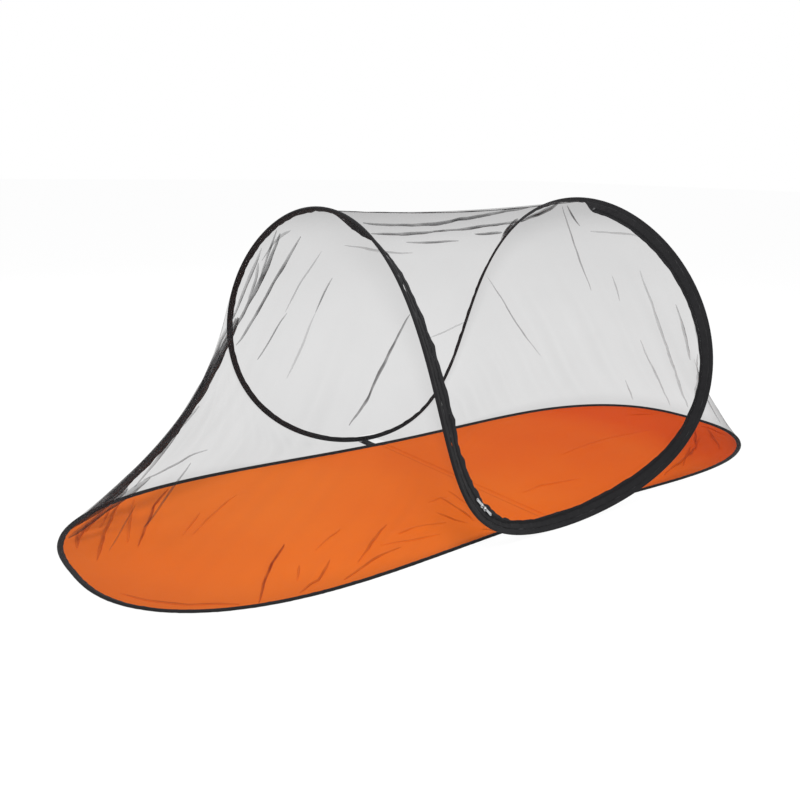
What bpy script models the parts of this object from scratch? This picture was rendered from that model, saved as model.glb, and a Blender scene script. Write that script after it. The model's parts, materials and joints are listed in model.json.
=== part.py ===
"""Single-person pop-up mosquito net tent.

An oval groundsheet carries a flat ring of spring wire in its edge binding. A second, larger
ring of spring wire is bent like a saddle: it touches the ground beside the middle of each
long edge and rises in two arches, one leaning to the head and one to the foot. Netting
closes the far side, the roof and both ends, and the near side is a door with a U-shaped zip.

Metres, +Z up. The head end is at -X, the foot end at +X and the door at -Y.
"""

import math

import bmesh
import bpy
import numpy as np
from mathutils import Matrix, Vector

# Groundsheet
FLOOR_HALF_LENGTH = 1.05
FLOOR_HALF_WIDTH = 0.448
FLOOR_OUTLINE_POWER = 2.72
FLOOR_WAIST_SHARE = 0.222
FLOOR_HEAD_WIDER_SHARE = 0.035
FLOOR_SHEET_THICKNESS = 0.001

# Line across the tent where both rings bend when it is folded
FOLD_LINE_X = -0.017
FOLD_GAP = 0.0008

# Arch ring
RING_REACH = 0.522
RING_REACH_SQUARE_SHARE = -0.175
RING_REACH_FOOT_SHARE = 0.01
RING_SPREAD_SHARE = 1.2054
RING_SPREAD_BULGE_SHARE = 0.242
RING_RISE = 0.737
RING_RISE_FLAT_SHARE = 0.035
RING_RISE_LEAN_SHARE = 0.005
RING_RISE_SHOULDER_SHARE = 0.004

# Spring wire, its joint ferrules and the tape folded round it
WIRE_RADIUS = 0.00175
FERRULE_CLEARANCE = 0.0003
FERRULE_WALL = 0.00055
FERRULE_LENGTH = 0.02
FERRULE_STATION = 6
TAPE_THICKNESS = 0.0008
SLEEVE_CLEARANCE = 0.0003
SLEEVE_TAIL_LENGTH = 0.0125
SLEEVE_TAIL_HALF_THICKNESS = 0.0012
BINDING_TAIL_LENGTH = 0.011
BINDING_TAIL_THICKNESS = 0.0024
SEAM_GAP = 0.0003
SEWN_GAP = 0.0005

# Door zip
ZIP_TAPE_WIDTH_HEAD = 0.008
ZIP_TAPE_WIDTH_FOOT = 0.013
ZIP_TEETH_WIDTH = 0.0026
ZIP_TEETH_THICKNESS = 0.0024
ZIP_SLIT = 0.0014
DOOR_TAPE_WIDTH = 0.01
ZIP_BOTTOM_OVERHANG = 0.028
ZIP_BOTTOM_RELIEF = 0.012
ZIP_FOLD_CLEARANCE = 0.0055
ZIP_ARC_LOW_SHARE = 0.15
ZIP_ARC_HIGH_SHARE = 0.5

# Zip sliders and pull tabs
SLIDER_LENGTH = 0.0115
SLIDER_WIDTH = 0.0094
SLIDER_TAIL_WIDTH = 0.0072
SLIDER_PLATE = 0.0011
SLIDER_CHANNEL = 0.0032
SLIDER_LIP_HEIGHT = 0.0004
SLIDER_LIP_WIDTH = 0.0007
SLIDER_POST_WIDTH = 0.0008
SLIDER_POST_LENGTH = 0.0026
SLIDER_BRIDGE_BAR = 0.0012
SLIDER_BRIDGE_WIDTH = 0.0022
SLIDER_BRIDGE_SPAN = 0.0078
SLIDER_BRIDGE_RISE = 0.0034
SLIDER_SPACING = 0.0155
SLIDER_PLACE_SHARE = 0.44
PULL_LENGTH = 0.03
PULL_WIDTH = 0.0062
PULL_THICKNESS = 0.001
PULL_BAR = 0.0012
PULL_BAR_OFFSET = 0.0019
PULL_EYE_LENGTH = 0.0034
PULL_EYE_WIDTH = 0.0034
PULL_HOLE_RADIUS = 0.0014
PULL_NECK_SHARE = 0.85

# Zip end stops
STOP_LENGTH = 0.006
STOP_HEIGHT = 0.0018

# Netting and its seams
NET_THICKNESS = 0.001
NET_SLEEVE_CLEARANCE = 0.0065
NET_END_SIDE_MARGIN = 0.055
ROOF_SAG = 0.016
ROOF_SAG_POWER = 6
WALL_SAG = 0.02
END_SAG_HEAD = 0.1
END_SAG_FOOT = 0.05
END_SAG_LOW_POWER = 1.5
END_SAG_SPREAD_POWER = 0.6
PLEAT_DEPTH_HEAD = 0.007
PLEAT_DEPTH_FOOT = 0.005
PLEATS_HEAD = 11
PLEATS_FOOT = 9
RIDGE_HALF_GAP = 0.0012
RIDGE_TAPE_WIDTH = 0.01
RIDGE_TAPE_LIFT = 0.0014
RIDGE_END_SHARE = 0.02

# Tabs that sew the arch ring to the groundsheet beside the fold line
TAB_LENGTH = 0.032
TAB_OFFSET = 0.006
TAB_THICKNESS = 0.0016

# Place inside the tent that the arch ring's folded tapes point to, with Y as a share of their own
TAPE_TARGET_X = 0.03
TAPE_TARGET_Y_SHARE = 0.7
TAPE_TARGET_Z = 0.36

# How finely the forms are drawn
RING_STATIONS = 37
FLOOR_STATIONS = 34
TOP_STATION = RING_STATIONS // 2
ZIP_TOP_STATION = TOP_STATION + 1
END_NET_ROWS = 8
SIDE_NET_COLUMNS = 14
FERRULE_SIDES = 10
RIDGE_COLUMNS = 12
ARC_STEPS = 4
BRIDGE_SECTIONS = 9
HOLE_SIDES = 12
CURVE_SAMPLES = 1400

SLEEVE_INNER_RADIUS = WIRE_RADIUS + FERRULE_CLEARANCE + FERRULE_WALL + SLEEVE_CLEARANCE
SLEEVE_NOSE_RADIUS = SLEEVE_INNER_RADIUS + TAPE_THICKNESS
ZIP_HALF_WIDTH = ZIP_SLIT / 2 + ZIP_TEETH_WIDTH

HEAD_TOP = math.pi
FAR_FOOT = math.pi / 2
NEAR_FOOT = 3 * math.pi / 2
FOOT_TOP = 2 * math.pi


# Scene, collections and materials

for old in list(bpy.data.objects):
    bpy.data.objects.remove(old, do_unlink=True)

PARTS = bpy.data.collections.new("mosquito_net_tent")
CUTTERS = bpy.data.collections.new("cutters")
bpy.context.scene.collection.children.link(PARTS)
bpy.context.scene.collection.children.link(CUTTERS)


def make_material(name, color, roughness, metallic):
    """Return a material with one Principled BSDF."""
    material = bpy.data.materials.new(name)
    material.use_nodes = True
    shader = material.node_tree.nodes["Principled BSDF"]
    shader.inputs["Base Color"].default_value = (*color, 1.0)
    shader.inputs["Roughness"].default_value = roughness
    shader.inputs["Metallic"].default_value = metallic
    return material


GROUNDSHEET_CLOTH = make_material("orange polyester", (0.78, 0.16, 0.03), 0.7, 0.0)
BLACK_TAPE = make_material("black binding tape", (0.02, 0.02, 0.022), 0.85, 0.0)
NETTING = make_material("dark netting", (0.1, 0.1, 0.105), 0.8, 0.0)
SPRING_STEEL = make_material("spring steel", (0.35, 0.35, 0.36), 0.35, 1.0)
ZIP_NYLON = make_material("black zip nylon", (0.015, 0.015, 0.017), 0.45, 0.0)
PLATED_ZINC = make_material("plated zinc", (0.7, 0.71, 0.72), 0.25, 1.0)


# Joint axes, as empties that the moving pieces hang from

def make_axis(name, place):
    """Return an empty on a joint's axis."""
    empty = bpy.data.objects.new(name, None)
    empty.location = place
    PARTS.objects.link(empty)
    return empty


def hang(piece, axis):
    """Parent a piece to its joint's empty and leave it where it is."""
    piece.parent = axis
    piece.matrix_parent_inverse = Matrix.Translation(-Vector(axis.location))


# Outline of the groundsheet and route of the arch ring

def floor_point(angle):
    """Return a point of the groundsheet's wire, an oval drawn in at its waist."""
    share = 2 / FLOOR_OUTLINE_POWER
    cosine = math.cos(angle)
    sine = math.sin(angle)
    along_share = math.copysign(abs(cosine) ** share, cosine)
    across = FLOOR_HALF_WIDTH * math.copysign(abs(sine) ** share, sine)
    across *= 1 - FLOOR_HEAD_WIDER_SHARE * along_share
    across *= 1 - FLOOR_WAIST_SHARE * (1 - along_share ** 2) ** 2
    return np.array([FLOOR_HALF_LENGTH * along_share, across, SLEEVE_NOSE_RADIUS])


def ring_rise_share(angle):
    """Return the arch ring's height at an angle, as a share of its rise."""
    return (
        0.5 - RING_RISE_FLAT_SHARE
        + 0.5 * math.cos(2 * angle)
        + RING_RISE_FLAT_SHARE * math.cos(4 * angle)
        + RING_RISE_LEAN_SHARE * math.cos(angle)
        + RING_RISE_SHOULDER_SHARE * math.cos(3 * angle)
    )


LOWEST_RISE_SHARE = min(ring_rise_share(turn) for turn in np.linspace(0, FOOT_TOP, CURVE_SAMPLES))
RING_BASE = SLEEVE_NOSE_RADIUS - LOWEST_RISE_SHARE * RING_RISE


def ring_point(angle):
    """Return a point of the arch ring: angle 0 is the foot arch's top, pi the head arch's."""
    reach_share = (
        math.cos(angle)
        + RING_REACH_SQUARE_SHARE * math.cos(3 * angle)
        + RING_REACH_FOOT_SHARE * (math.cos(2 * angle) + 1)
    )
    spread_share = math.sin(angle) + RING_SPREAD_BULGE_SHARE * math.sin(3 * angle)
    return np.array([
        FOLD_LINE_X + RING_REACH * reach_share,
        RING_SPREAD_SHARE * FLOOR_HALF_WIDTH * spread_share,
        RING_BASE + RING_RISE * ring_rise_share(angle),
    ])


def unit(vector):
    """Return a vector of length 1."""
    return vector / np.linalg.norm(vector)


def square_to(vector, tangent):
    """Return the unit vector closest to vector that is square to tangent."""
    return unit(vector - np.dot(vector, tangent) * tangent)


def even_angles(curve, start, end, count):
    """Return angles at equal steps of length along a curve, ends included."""
    dense = np.linspace(start, end, CURVE_SAMPLES)
    points = np.array([curve(angle) for angle in dense])
    steps = np.linalg.norm(np.diff(points, axis=0), axis=1)
    length = np.concatenate([[0], np.cumsum(steps)])
    return np.interp(np.linspace(0, length[-1], count), length, dense)


def angle_at_x(curve, x, start, end):
    """Return the angle between start and end where a curve reaches a place along the tent."""
    dense = np.linspace(start, end, CURVE_SAMPLES)
    short = np.array([curve(angle)[0] for angle in dense]) - x
    step = int(np.argmax(short[:-1] * short[1:] <= 0))
    share = short[step] / (short[step] - short[step + 1])
    return dense[step] + (dense[step + 1] - dense[step]) * share


def tangent_of(curve, angle):
    """Return the direction of a curve at an angle."""
    step = math.pi / CURVE_SAMPLES
    return unit(curve(angle + step) - curve(angle - step))


def ring_frame(angle):
    """Return the arch ring's centre, the way its tape points and the way out of the net."""
    centre = ring_point(angle)
    tangent = tangent_of(ring_point, angle)
    target = np.array([TAPE_TARGET_X, TAPE_TARGET_Y_SHARE * centre[1], TAPE_TARGET_Z])
    inward = square_to(target - centre, tangent)
    return centre, inward, np.cross(tangent, inward)


def floor_frame(angle):
    """Return the groundsheet wire's centre, the way in across the sheet and straight down."""
    centre = floor_point(angle)
    tangent = tangent_of(floor_point, angle)
    inward = square_to(np.array([0, -centre[1], 0]) + np.array([-centre[0], 0, 0]), tangent)
    return centre, inward, np.array([0, 0, -1.0])


# Mesh makers

def finish_mesh(name, shape, material, smooth=True):
    """Turn a bmesh into an object in the parts collection."""
    mesh = bpy.data.meshes.new(name)
    shape.to_mesh(mesh)
    shape.free()
    if smooth:
        mesh.shade_smooth()
        mesh.set_sharp_from_angle(angle=math.radians(35))
    mesh.materials.append(material)
    piece = bpy.data.objects.new(name, mesh)
    PARTS.objects.link(piece)
    return piece


def add_solidify(piece, thickness, offset):
    """Give an open surface its thickness."""
    shell = piece.modifiers.new("wall", "SOLIDIFY")
    shell.thickness = thickness
    shell.offset = offset
    shell.use_even_offset = True
    shell.use_rim = True


def loft(name, sections, material, capped, smooth=True):
    """Join closed sections of equal count into one skin, with or without end caps."""
    shape = bmesh.new()
    rows = [[shape.verts.new(point) for point in section] for section in sections]
    count = len(rows[0])
    facing = 0
    for first, second, section in zip(rows, rows[1:], sections):
        middle = Vector(np.mean(np.array(section), axis=0))
        for index in range(count):
            after = (index + 1) % count
            wall = shape.faces.new((first[index], first[after], second[after], second[index]))
            wall.normal_update()
            facing += wall.normal.dot(wall.calc_center_median() - middle)
    if facing < 0:
        bmesh.ops.reverse_faces(shape, faces=shape.faces)
    if capped:
        shape.faces.new(rows[0])
        shape.faces.new(rows[-1])
        bmesh.ops.recalc_face_normals(shape, faces=shape.faces)
    return finish_mesh(name, shape, material, smooth)


def sheet(name, columns, rows, place, thickness, material):
    """Make a sheet by moving the points of a grid, then thicken it about its middle."""
    shape = bmesh.new()
    bmesh.ops.create_grid(shape, x_segments=columns, y_segments=rows, size=1)
    for vert in shape.verts:
        vert.co = Vector(place((vert.co.x + 1) / 2, (vert.co.y + 1) / 2))
    piece = finish_mesh(name, shape, material)
    add_solidify(piece, thickness, 0)
    return piece


def wire(name, points, radius, material):
    """Make a round wire along points, with filled ends."""
    route = bpy.data.curves.new(name, "CURVE")
    route.dimensions = "3D"
    route.bevel_depth = radius
    route.bevel_resolution = 1
    route.use_fill_caps = True
    spline = route.splines.new("POLY")
    spline.points.add(len(points) - 1)
    for knot, point in zip(spline.points, points):
        knot.co = (*point, 1.0)
    route.materials.append(material)
    piece = bpy.data.objects.new(name, route)
    PARTS.objects.link(piece)
    return piece


def plate(name, outline, thickness, height, material):
    """Make a flat plate from a closed outline, its underside at a height."""
    flat = bpy.data.curves.new(name, "CURVE")
    flat.dimensions = "2D"
    flat.fill_mode = "BOTH"
    flat.extrude = thickness / 2
    spline = flat.splines.new("POLY")
    spline.points.add(len(outline) - 1)
    for knot, point in zip(spline.points, outline):
        knot.co = (point[0], point[1], 0, 1.0)
    spline.use_cyclic_u = True
    flat.materials.append(material)
    piece = bpy.data.objects.new(name, flat)
    piece.location = (0, 0, height + thickness / 2)
    PARTS.objects.link(piece)
    return piece


# Folded tape round a wire: a round nose that holds the wire and a thin tail

def folded_tape_profile(tail_length, tail_low, tail_high):
    """Return the tape's outer section, as steps in from the wire and out of the net."""
    nose = SLEEVE_NOSE_RADIUS
    slope = math.sqrt(0.5)
    return [
        (-nose, 0),
        (-nose * slope, nose * slope),
        (0, nose),
        (tail_length, tail_high),
        (tail_length, tail_low),
        (0, -nose),
        (-nose * slope, -nose * slope),
    ]


def place_profile(frame, profile):
    """Return a section's points at a frame."""
    centre, inward, outward = frame
    return [centre + inward * step_in + outward * step_out for step_in, step_out in profile]


def folded_tape(name, frames, profile):
    """Make the sleeve that a wire runs in, open at both ends."""
    sections = [place_profile(frame, profile) for frame in frames]
    sleeve = loft(name, sections, BLACK_TAPE, capped=False)
    add_solidify(sleeve, TAPE_THICKNESS, -1)
    return sleeve


def ferrule(name, start, end):
    """Make the crimped tube that joins a wire's ends, at the middle of a straight step."""
    middle = (start + end) / 2
    along = unit(end - start)
    across = square_to(np.array([0, 0, 1.0]), along)
    other = np.cross(along, across)
    inner = WIRE_RADIUS + FERRULE_CLEARANCE
    sections = []
    for place in (-FERRULE_LENGTH / 2, FERRULE_LENGTH / 2):
        turns = np.linspace(0, 2 * math.pi, FERRULE_SIDES, endpoint=False)
        outer = inner + FERRULE_WALL
        sections.append([
            middle + along * place + (across * math.cos(turn) + other * math.sin(turn)) * outer
            for turn in turns
        ])
    piece = loft(name, sections, SPRING_STEEL, capped=False)
    add_solidify(piece, FERRULE_WALL, -1)
    return piece


# Both rings, each in a head half and a foot half that meet at the fold line

def ring_angles(start_x, start, top, mirror):
    """Return the angles of one arch, from its far foot over its top to its near foot."""
    first = angle_at_x(ring_point, start_x, start, top)
    return even_angles(ring_point, first, mirror - first, RING_STATIONS)


HEAD_RING = ring_angles(FOLD_LINE_X - FOLD_GAP / 2, FAR_FOOT, FAR_FOOT + 0.1, FOOT_TOP)
FOOT_RING = ring_angles(FOLD_LINE_X + FOLD_GAP / 2, FAR_FOOT, FAR_FOOT - 0.1, 0)


def make_arch(end, angles):
    """Make one arch: its half of the wire and the tape folded round it."""
    points = [ring_point(angle) for angle in angles]
    profile = folded_tape_profile(
        SLEEVE_TAIL_LENGTH, -SLEEVE_TAIL_HALF_THICKNESS, SLEEVE_TAIL_HALF_THICKNESS
    )
    steel = wire("arch_wire_" + end, points, WIRE_RADIUS, SPRING_STEEL)
    sleeve = folded_tape("arch_sleeve_" + end, [ring_frame(angle) for angle in angles], profile)
    return steel, sleeve, points


def floor_angles(side):
    """Return the angles of one half of the groundsheet, far side to near side."""
    start_x = FOLD_LINE_X + side * FOLD_GAP / 2
    first = angle_at_x(floor_point, start_x, FAR_FOOT - 0.2, FAR_FOOT + 0.2)
    last = -first if side > 0 else FOOT_TOP - first
    return even_angles(floor_point, first, last, FLOOR_STATIONS)


def make_floor(end, side):
    """Make one half of the groundsheet with its wire and binding."""
    angles = floor_angles(side)
    frames = [floor_frame(angle) for angle in angles]
    points = [frame[0] for frame in frames]
    nose = SLEEVE_NOSE_RADIUS
    profile = folded_tape_profile(BINDING_TAIL_LENGTH, nose - BINDING_TAIL_THICKNESS, nose)
    inset = BINDING_TAIL_LENGTH + SEAM_GAP
    outline = [frame[0] + frame[1] * inset for frame in frames]
    outline[0][0] = FOLD_LINE_X + side * FOLD_GAP / 2
    outline[-1][0] = FOLD_LINE_X + side * FOLD_GAP / 2
    steel = wire("floor_wire_" + end, points, WIRE_RADIUS, SPRING_STEEL)
    binding = folded_tape("floor_binding_" + end, frames, profile)
    cloth = plate("groundsheet_" + end, outline, FLOOR_SHEET_THICKNESS, 0, GROUNDSHEET_CLOTH)
    return cloth, steel, binding, points, angles


# Zip route: an offset of the arch ring on the near side, and an exact arc where a slider runs

def smooth_share(value):
    """Return a value between 0 and 1, eased at both ends."""
    held = min(max(value, 0), 1)
    return held * held * (3 - 2 * held)


def zip_tape_width(angle):
    """Return the width of the tape between sleeve and teeth: wider on the foot arch."""
    turn_share = (angle - NEAR_FOOT) / (math.pi / 6) + 0.5
    return ZIP_TAPE_WIDTH_HEAD + (ZIP_TAPE_WIDTH_FOOT - ZIP_TAPE_WIDTH_HEAD) * smooth_share(turn_share)


def zip_offset(angle):
    """Return how far the zip's middle lies in from the arch wire."""
    return SLEEVE_TAIL_LENGTH + SEWN_GAP + SEAM_GAP + zip_tape_width(angle) + ZIP_HALF_WIDTH


def zip_guide(angle):
    """Return the zip's middle, before its arc is made exact."""
    centre, inward, _ = ring_frame(angle)
    return centre + inward * zip_offset(angle)


ARC_LOW = NEAR_FOOT - ZIP_ARC_LOW_SHARE * math.pi / 2
ARC_HIGH = NEAR_FOOT - ZIP_ARC_HIGH_SHARE * math.pi / 2
ARC_MIDDLE = (ARC_LOW + ARC_HIGH) / 2


def circle_through(first, second, third):
    """Return the centre, radius and axis of the circle through three points."""
    side_a = second - first
    side_b = third - first
    axis = np.cross(side_a, side_b)
    to_centre = (
        np.cross(axis, side_a) * np.dot(side_b, side_b)
        - np.cross(axis, side_b) * np.dot(side_a, side_a)
    ) / (2 * np.dot(axis, axis))
    return first + to_centre, np.linalg.norm(to_centre), unit(axis)


ARC_CENTRE, ARC_RADIUS, ARC_AXIS = circle_through(
    zip_guide(ARC_LOW), zip_guide(ARC_MIDDLE), zip_guide(ARC_HIGH)
)


def arc_basis(point):
    """Return the outward radius of the slider's arc under a point, and the way along it."""
    spoke = point - ARC_CENTRE
    radial = unit(spoke - np.dot(spoke, ARC_AXIS) * ARC_AXIS)
    return radial, np.cross(ARC_AXIS, radial)


def arc_tilt():
    """Return how far the zip's face is turned about its route, at the middle of the arc."""
    _, inward, _ = ring_frame(ARC_MIDDLE)
    radial, _ = arc_basis(zip_guide(ARC_MIDDLE))
    return math.atan2(np.dot(inward, ARC_AXIS), np.dot(inward, radial))


ARC_TILT = arc_tilt()


def zip_frame(angle):
    """Return the zip's middle, the way across it to the door and the way out of the net."""
    centre, inward, outward = ring_frame(angle)
    point = zip_guide(angle)
    if not ARC_HIGH <= angle <= ARC_LOW:
        across = square_to(inward, tangent_of(zip_guide, angle))
        return point, across, outward
    radial, along = arc_basis(point)
    across = radial * math.cos(ARC_TILT) + ARC_AXIS * math.sin(ARC_TILT)
    face = unit(np.cross(along, across))
    if np.dot(face, outward) < 0:
        face = -face
    return ARC_CENTRE + radial * ARC_RADIUS, across, face


def zip_strip_profile(near_edge, far_edge, thickness):
    """Return a flat section between two steps across the zip."""
    half = thickness / 2
    return [(near_edge, -half), (far_edge, -half), (far_edge, half), (near_edge, half)]


def refined(angles):
    """Add angles on the slider's arc, each with the ring station before it and its share on."""
    run = []
    for index, (first, second) in enumerate(zip(angles, angles[1:])):
        on_arc = ARC_HIGH <= (first + second) / 2 <= ARC_LOW
        count = ARC_STEPS if on_arc else 1
        for step in range(count):
            run.append((first + (second - first) * step / count, index, step / count))
    return run + [(angles[-1], len(angles) - 2, 1)]


def sewn_point(angle):
    """Return where the zip's tape meets the sleeve, held off it where the rings fold."""
    centre, inward, _ = ring_frame(angle)
    step_in = SLEEVE_TAIL_LENGTH + SEWN_GAP
    if abs(centre[0] - FOLD_LINE_X) < ZIP_BOTTOM_OVERHANG + ZIP_BOTTOM_RELIEF + SEAM_GAP:
        step_in += ZIP_FOLD_CLEARANCE
    return centre + inward * step_in


def make_zip_half(end, angles, door_angles):
    """Make the tape and teeth of one leg: the arch's own, and those on the door's edge."""
    run = refined(angles)
    frames = [zip_frame(angle) for angle, _, _ in run]
    door_frames = [zip_frame(angle) for angle, _, _ in refined(door_angles)]
    sewn = [sewn_point(angle) for angle in angles]
    half = ZIP_HALF_WIDTH
    slit = ZIP_SLIT / 2
    edge = half + SEAM_GAP

    def tape_place(along, across):
        angle, index, share = run[round(along * columns)]
        start = sewn[index] * (1 - share) + sewn[index + 1] * share
        middle, over, _ = zip_frame(angle)
        return start * (1 - across) + (middle - over * edge) * across

    arch_teeth = zip_strip_profile(-half, -slit, ZIP_TEETH_THICKNESS)
    door_teeth = zip_strip_profile(slit, half, ZIP_TEETH_THICKNESS)
    door_tape = zip_strip_profile(edge, edge + DOOR_TAPE_WIDTH, TAPE_THICKNESS)
    columns = len(run) - 1
    tape = sheet("zip_tape_" + end, columns, 1, tape_place, TAPE_THICKNESS, BLACK_TAPE)
    sections = [place_profile(frame, arch_teeth) for frame in frames]
    teeth = loft("zip_teeth_" + end, sections, ZIP_NYLON, capped=True, smooth=False)
    sections = [place_profile(frame, door_teeth) for frame in door_frames]
    door_side = loft("door_teeth_" + end, sections, ZIP_NYLON, capped=True, smooth=False)
    sections = [place_profile(frame, door_tape) for frame in door_frames]
    hem = loft("door_tape_" + end, sections, BLACK_TAPE, capped=True, smooth=False)
    return tape, teeth, door_side, hem


# Netting

def pleat(along, across, count, depth):
    """Return how far a gathered net stands out of its plane: deepest near the hem."""
    return depth * math.sin(2 * math.pi * count * along) * math.sin(math.pi * across) * (1 - across / 2)


def make_end_net(end, ring_list, floor_list, sag, pleats, depth):
    """Make an end net, from its arch down to its half of the groundsheet."""
    ring_run = [angle for angle in ring_list
                if abs(ring_point(angle)[0] - FOLD_LINE_X) > NET_END_SIDE_MARGIN]
    keep_floor = [angle for angle in floor_list
                  if abs(floor_point(angle)[0] - FOLD_LINE_X) > NET_END_SIDE_MARGIN]
    floor_run = even_angles(floor_point, keep_floor[0], keep_floor[-1], len(ring_run))
    steps = len(ring_run) - 1
    lift = np.array([0, 0, SLEEVE_NOSE_RADIUS + SEAM_GAP + NET_THICKNESS])

    def place(along, down):
        top = ring_point(ring_run[round(along * steps)])
        bottom = floor_point(floor_run[round(along * steps)]) + lift
        start = top + unit(bottom - top) * NET_SLEEVE_CLEARANCE
        point = start * (1 - down) + bottom * down
        spread = math.sin(math.pi * along)
        belly = sag * math.sin(math.pi * down ** END_SAG_LOW_POWER) * spread ** END_SAG_SPREAD_POWER
        inward = unit(np.array([FOLD_LINE_X, 0, 0]) - bottom)
        return point + inward * (belly + pleat(along, down, pleats, depth) * spread)

    return sheet("net_" + end + "_end", steps, END_NET_ROWS, place, NET_THICKNESS, NETTING)


def side_net(name, head_edge, foot_edge, side):
    """Make a net between both arches on one side, from its lowest row up to the ridge."""
    rows = len(head_edge) - 1

    def place(along, up):
        row = round(up * rows)
        point = head_edge[row] * (1 - along) + foot_edge[row] * along
        bow = math.sin(math.pi * along)
        point[1] -= side * WALL_SAG * bow * math.sin(math.pi * up)
        point[2] -= ROOF_SAG * bow * up ** ROOF_SAG_POWER
        return point

    return sheet(name, SIDE_NET_COLUMNS, rows, place, NET_THICKNESS, NETTING), place


def ridge_corner(angle, side):
    """Return the corner of a side net where the ridge meets an arch's top."""
    centre, inward, _ = ring_frame(angle)
    corner = centre + inward * (SLEEVE_TAIL_LENGTH + SEWN_GAP + NET_THICKNESS)
    corner[1] = side * (RIDGE_HALF_GAP + NET_THICKNESS / 2)
    return corner


def make_wall_net():
    """Make the far wall and roof as one net, from the far foot up to the ridge."""
    inset = SLEEVE_TAIL_LENGTH + SEWN_GAP + NET_THICKNESS

    def edge(angles):
        frames = [ring_frame(angle) for angle in angles[1:TOP_STATION]]
        points = [centre + inward * inset for centre, inward, _ in frames]
        return points + [ridge_corner(angles[TOP_STATION], 1)]

    return side_net("net_wall", edge(HEAD_RING), edge(FOOT_RING), 1)


def make_door_net(head_run, foot_run):
    """Make the door's net, inside the tape along its zip."""
    inset = ZIP_HALF_WIDTH + 2 * SEAM_GAP + DOOR_TAPE_WIDTH + NET_THICKNESS

    def edge(run, top):
        frames = [zip_frame(angle) for angle in run[1:]]
        points = [middle + across * inset for middle, across, _ in frames]
        return points + [ridge_corner(top, -1)]

    head_edge = edge(head_run[::-1], HEAD_TOP)
    foot_edge = edge(foot_run, FOOT_TOP)
    return side_net("net_door", head_edge, foot_edge, -1)


def make_ridge_tape(place):
    """Make the seam tape over the ridge, where the door's net is sewn to the roof."""
    def over(along, across):
        middle = place(RIDGE_END_SHARE + (1 - 2 * RIDGE_END_SHARE) * along, 1)
        return np.array([
            middle[0],
            RIDGE_TAPE_WIDTH * (across - 0.5),
            middle[2] + RIDGE_TAPE_LIFT,
        ])
    return sheet("ridge_tape", RIDGE_COLUMNS, 1, over, TAPE_THICKNESS, BLACK_TAPE)


# Zip sliders and pull tabs

def block(name, size, centre):
    """Make a box among the cutters, to join to a piece or cut from it."""
    shape = bmesh.new()
    bmesh.ops.create_cube(shape, size=1)
    bmesh.ops.scale(shape, vec=size, verts=shape.verts)
    bmesh.ops.translate(shape, vec=centre, verts=shape.verts)
    mesh = bpy.data.meshes.new(name)
    shape.to_mesh(mesh)
    shape.free()
    mesh.materials.append(PLATED_ZINC)
    piece = bpy.data.objects.new(name, mesh)
    CUTTERS.objects.link(piece)
    return piece


def slider_plate(name, height, collection):
    """Make a slider's plate: wide at its shoulders, narrow at its tail."""
    half = SLIDER_LENGTH / 2
    wide = SLIDER_WIDTH / 2
    narrow = SLIDER_TAIL_WIDTH / 2
    cut = (wide + narrow) / 4
    outline = [
        (half, narrow - cut), (half - cut, wide), (0, wide), (-half, narrow),
        (-half, -narrow), (0, -wide), (half - cut, -wide), (half, cut - narrow),
    ]
    low = [Vector((x, y, height)) for x, y in outline]
    high = [Vector((x, y, height + SLIDER_PLATE)) for x, y in outline]
    piece = loft(name, [low, high], PLATED_ZINC, capped=True, smooth=False)
    if collection is not PARTS:
        PARTS.objects.unlink(piece)
        collection.objects.link(piece)
    return piece


def join_solids(base, others):
    """Join solids into one body with exact unions."""
    for other in others:
        other.hide_render = True
        other.display_type = "WIRE"
        union = base.modifiers.new("join " + other.name, "BOOLEAN")
        union.operation = "UNION"
        union.solver = "EXACT"
        union.object = other


def make_slider(name, matrix):
    """Make one slider: two plates on a post, lips that hold the tape, and a bridge."""
    gap = SLIDER_CHANNEL / 2
    overrun = SLIDER_PLATE / 2
    body = slider_plate(name, gap, PARTS)
    under = slider_plate(name + "_under_plate", -gap - SLIDER_PLATE, CUTTERS)
    post_x = SLIDER_LENGTH / 2 - SLIDER_POST_LENGTH
    post_size = (SLIDER_POST_LENGTH, SLIDER_POST_WIDTH, SLIDER_CHANNEL + 2 * overrun)
    post = block(name + "_post", post_size, (post_x, 0, 0))
    pieces = [under, post]
    for face in (-1, 1):
        for flank in (-1, 1):
            lip_size = (SLIDER_LENGTH / 2, SLIDER_LIP_WIDTH, SLIDER_LIP_HEIGHT + overrun)
            lip_y = flank * (SLIDER_TAIL_WIDTH / 2 + SLIDER_LIP_WIDTH / 2)
            lip_z = face * (gap - SLIDER_LIP_HEIGHT / 2 + overrun / 2)
            pieces.append(block(name + "_lip", lip_size, (0, lip_y, lip_z)))
    top = gap + SLIDER_PLATE
    reach = SLIDER_BRIDGE_SPAN / 2
    rise = SLIDER_BRIDGE_RISE
    bar = SLIDER_BRIDGE_BAR
    wide = SLIDER_BRIDGE_WIDTH / 2
    sections = []
    for turn in np.linspace(0, math.pi, BRIDGE_SECTIONS):
        middle = np.array([reach * math.cos(turn), 0, top - overrun + (rise + overrun) * math.sin(turn)])
        spoke = unit(np.array([math.cos(turn) * rise, 0, math.sin(turn) * reach]))
        sections.append([
            middle - spoke * bar / 2 + np.array([0, -wide, 0]),
            middle - spoke * bar / 2 + np.array([0, wide, 0]),
            middle + spoke * bar / 2 + np.array([0, wide, 0]),
            middle + spoke * bar / 2 + np.array([0, -wide, 0]),
        ])
    bridge = loft(name + "_bridge", sections, PLATED_ZINC, capped=True, smooth=False)
    PARTS.objects.unlink(bridge)
    CUTTERS.objects.link(bridge)
    pieces.append(bridge)
    join_solids(body, pieces)
    for piece in [body] + pieces:
        piece.matrix_world = matrix
    return body


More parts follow.
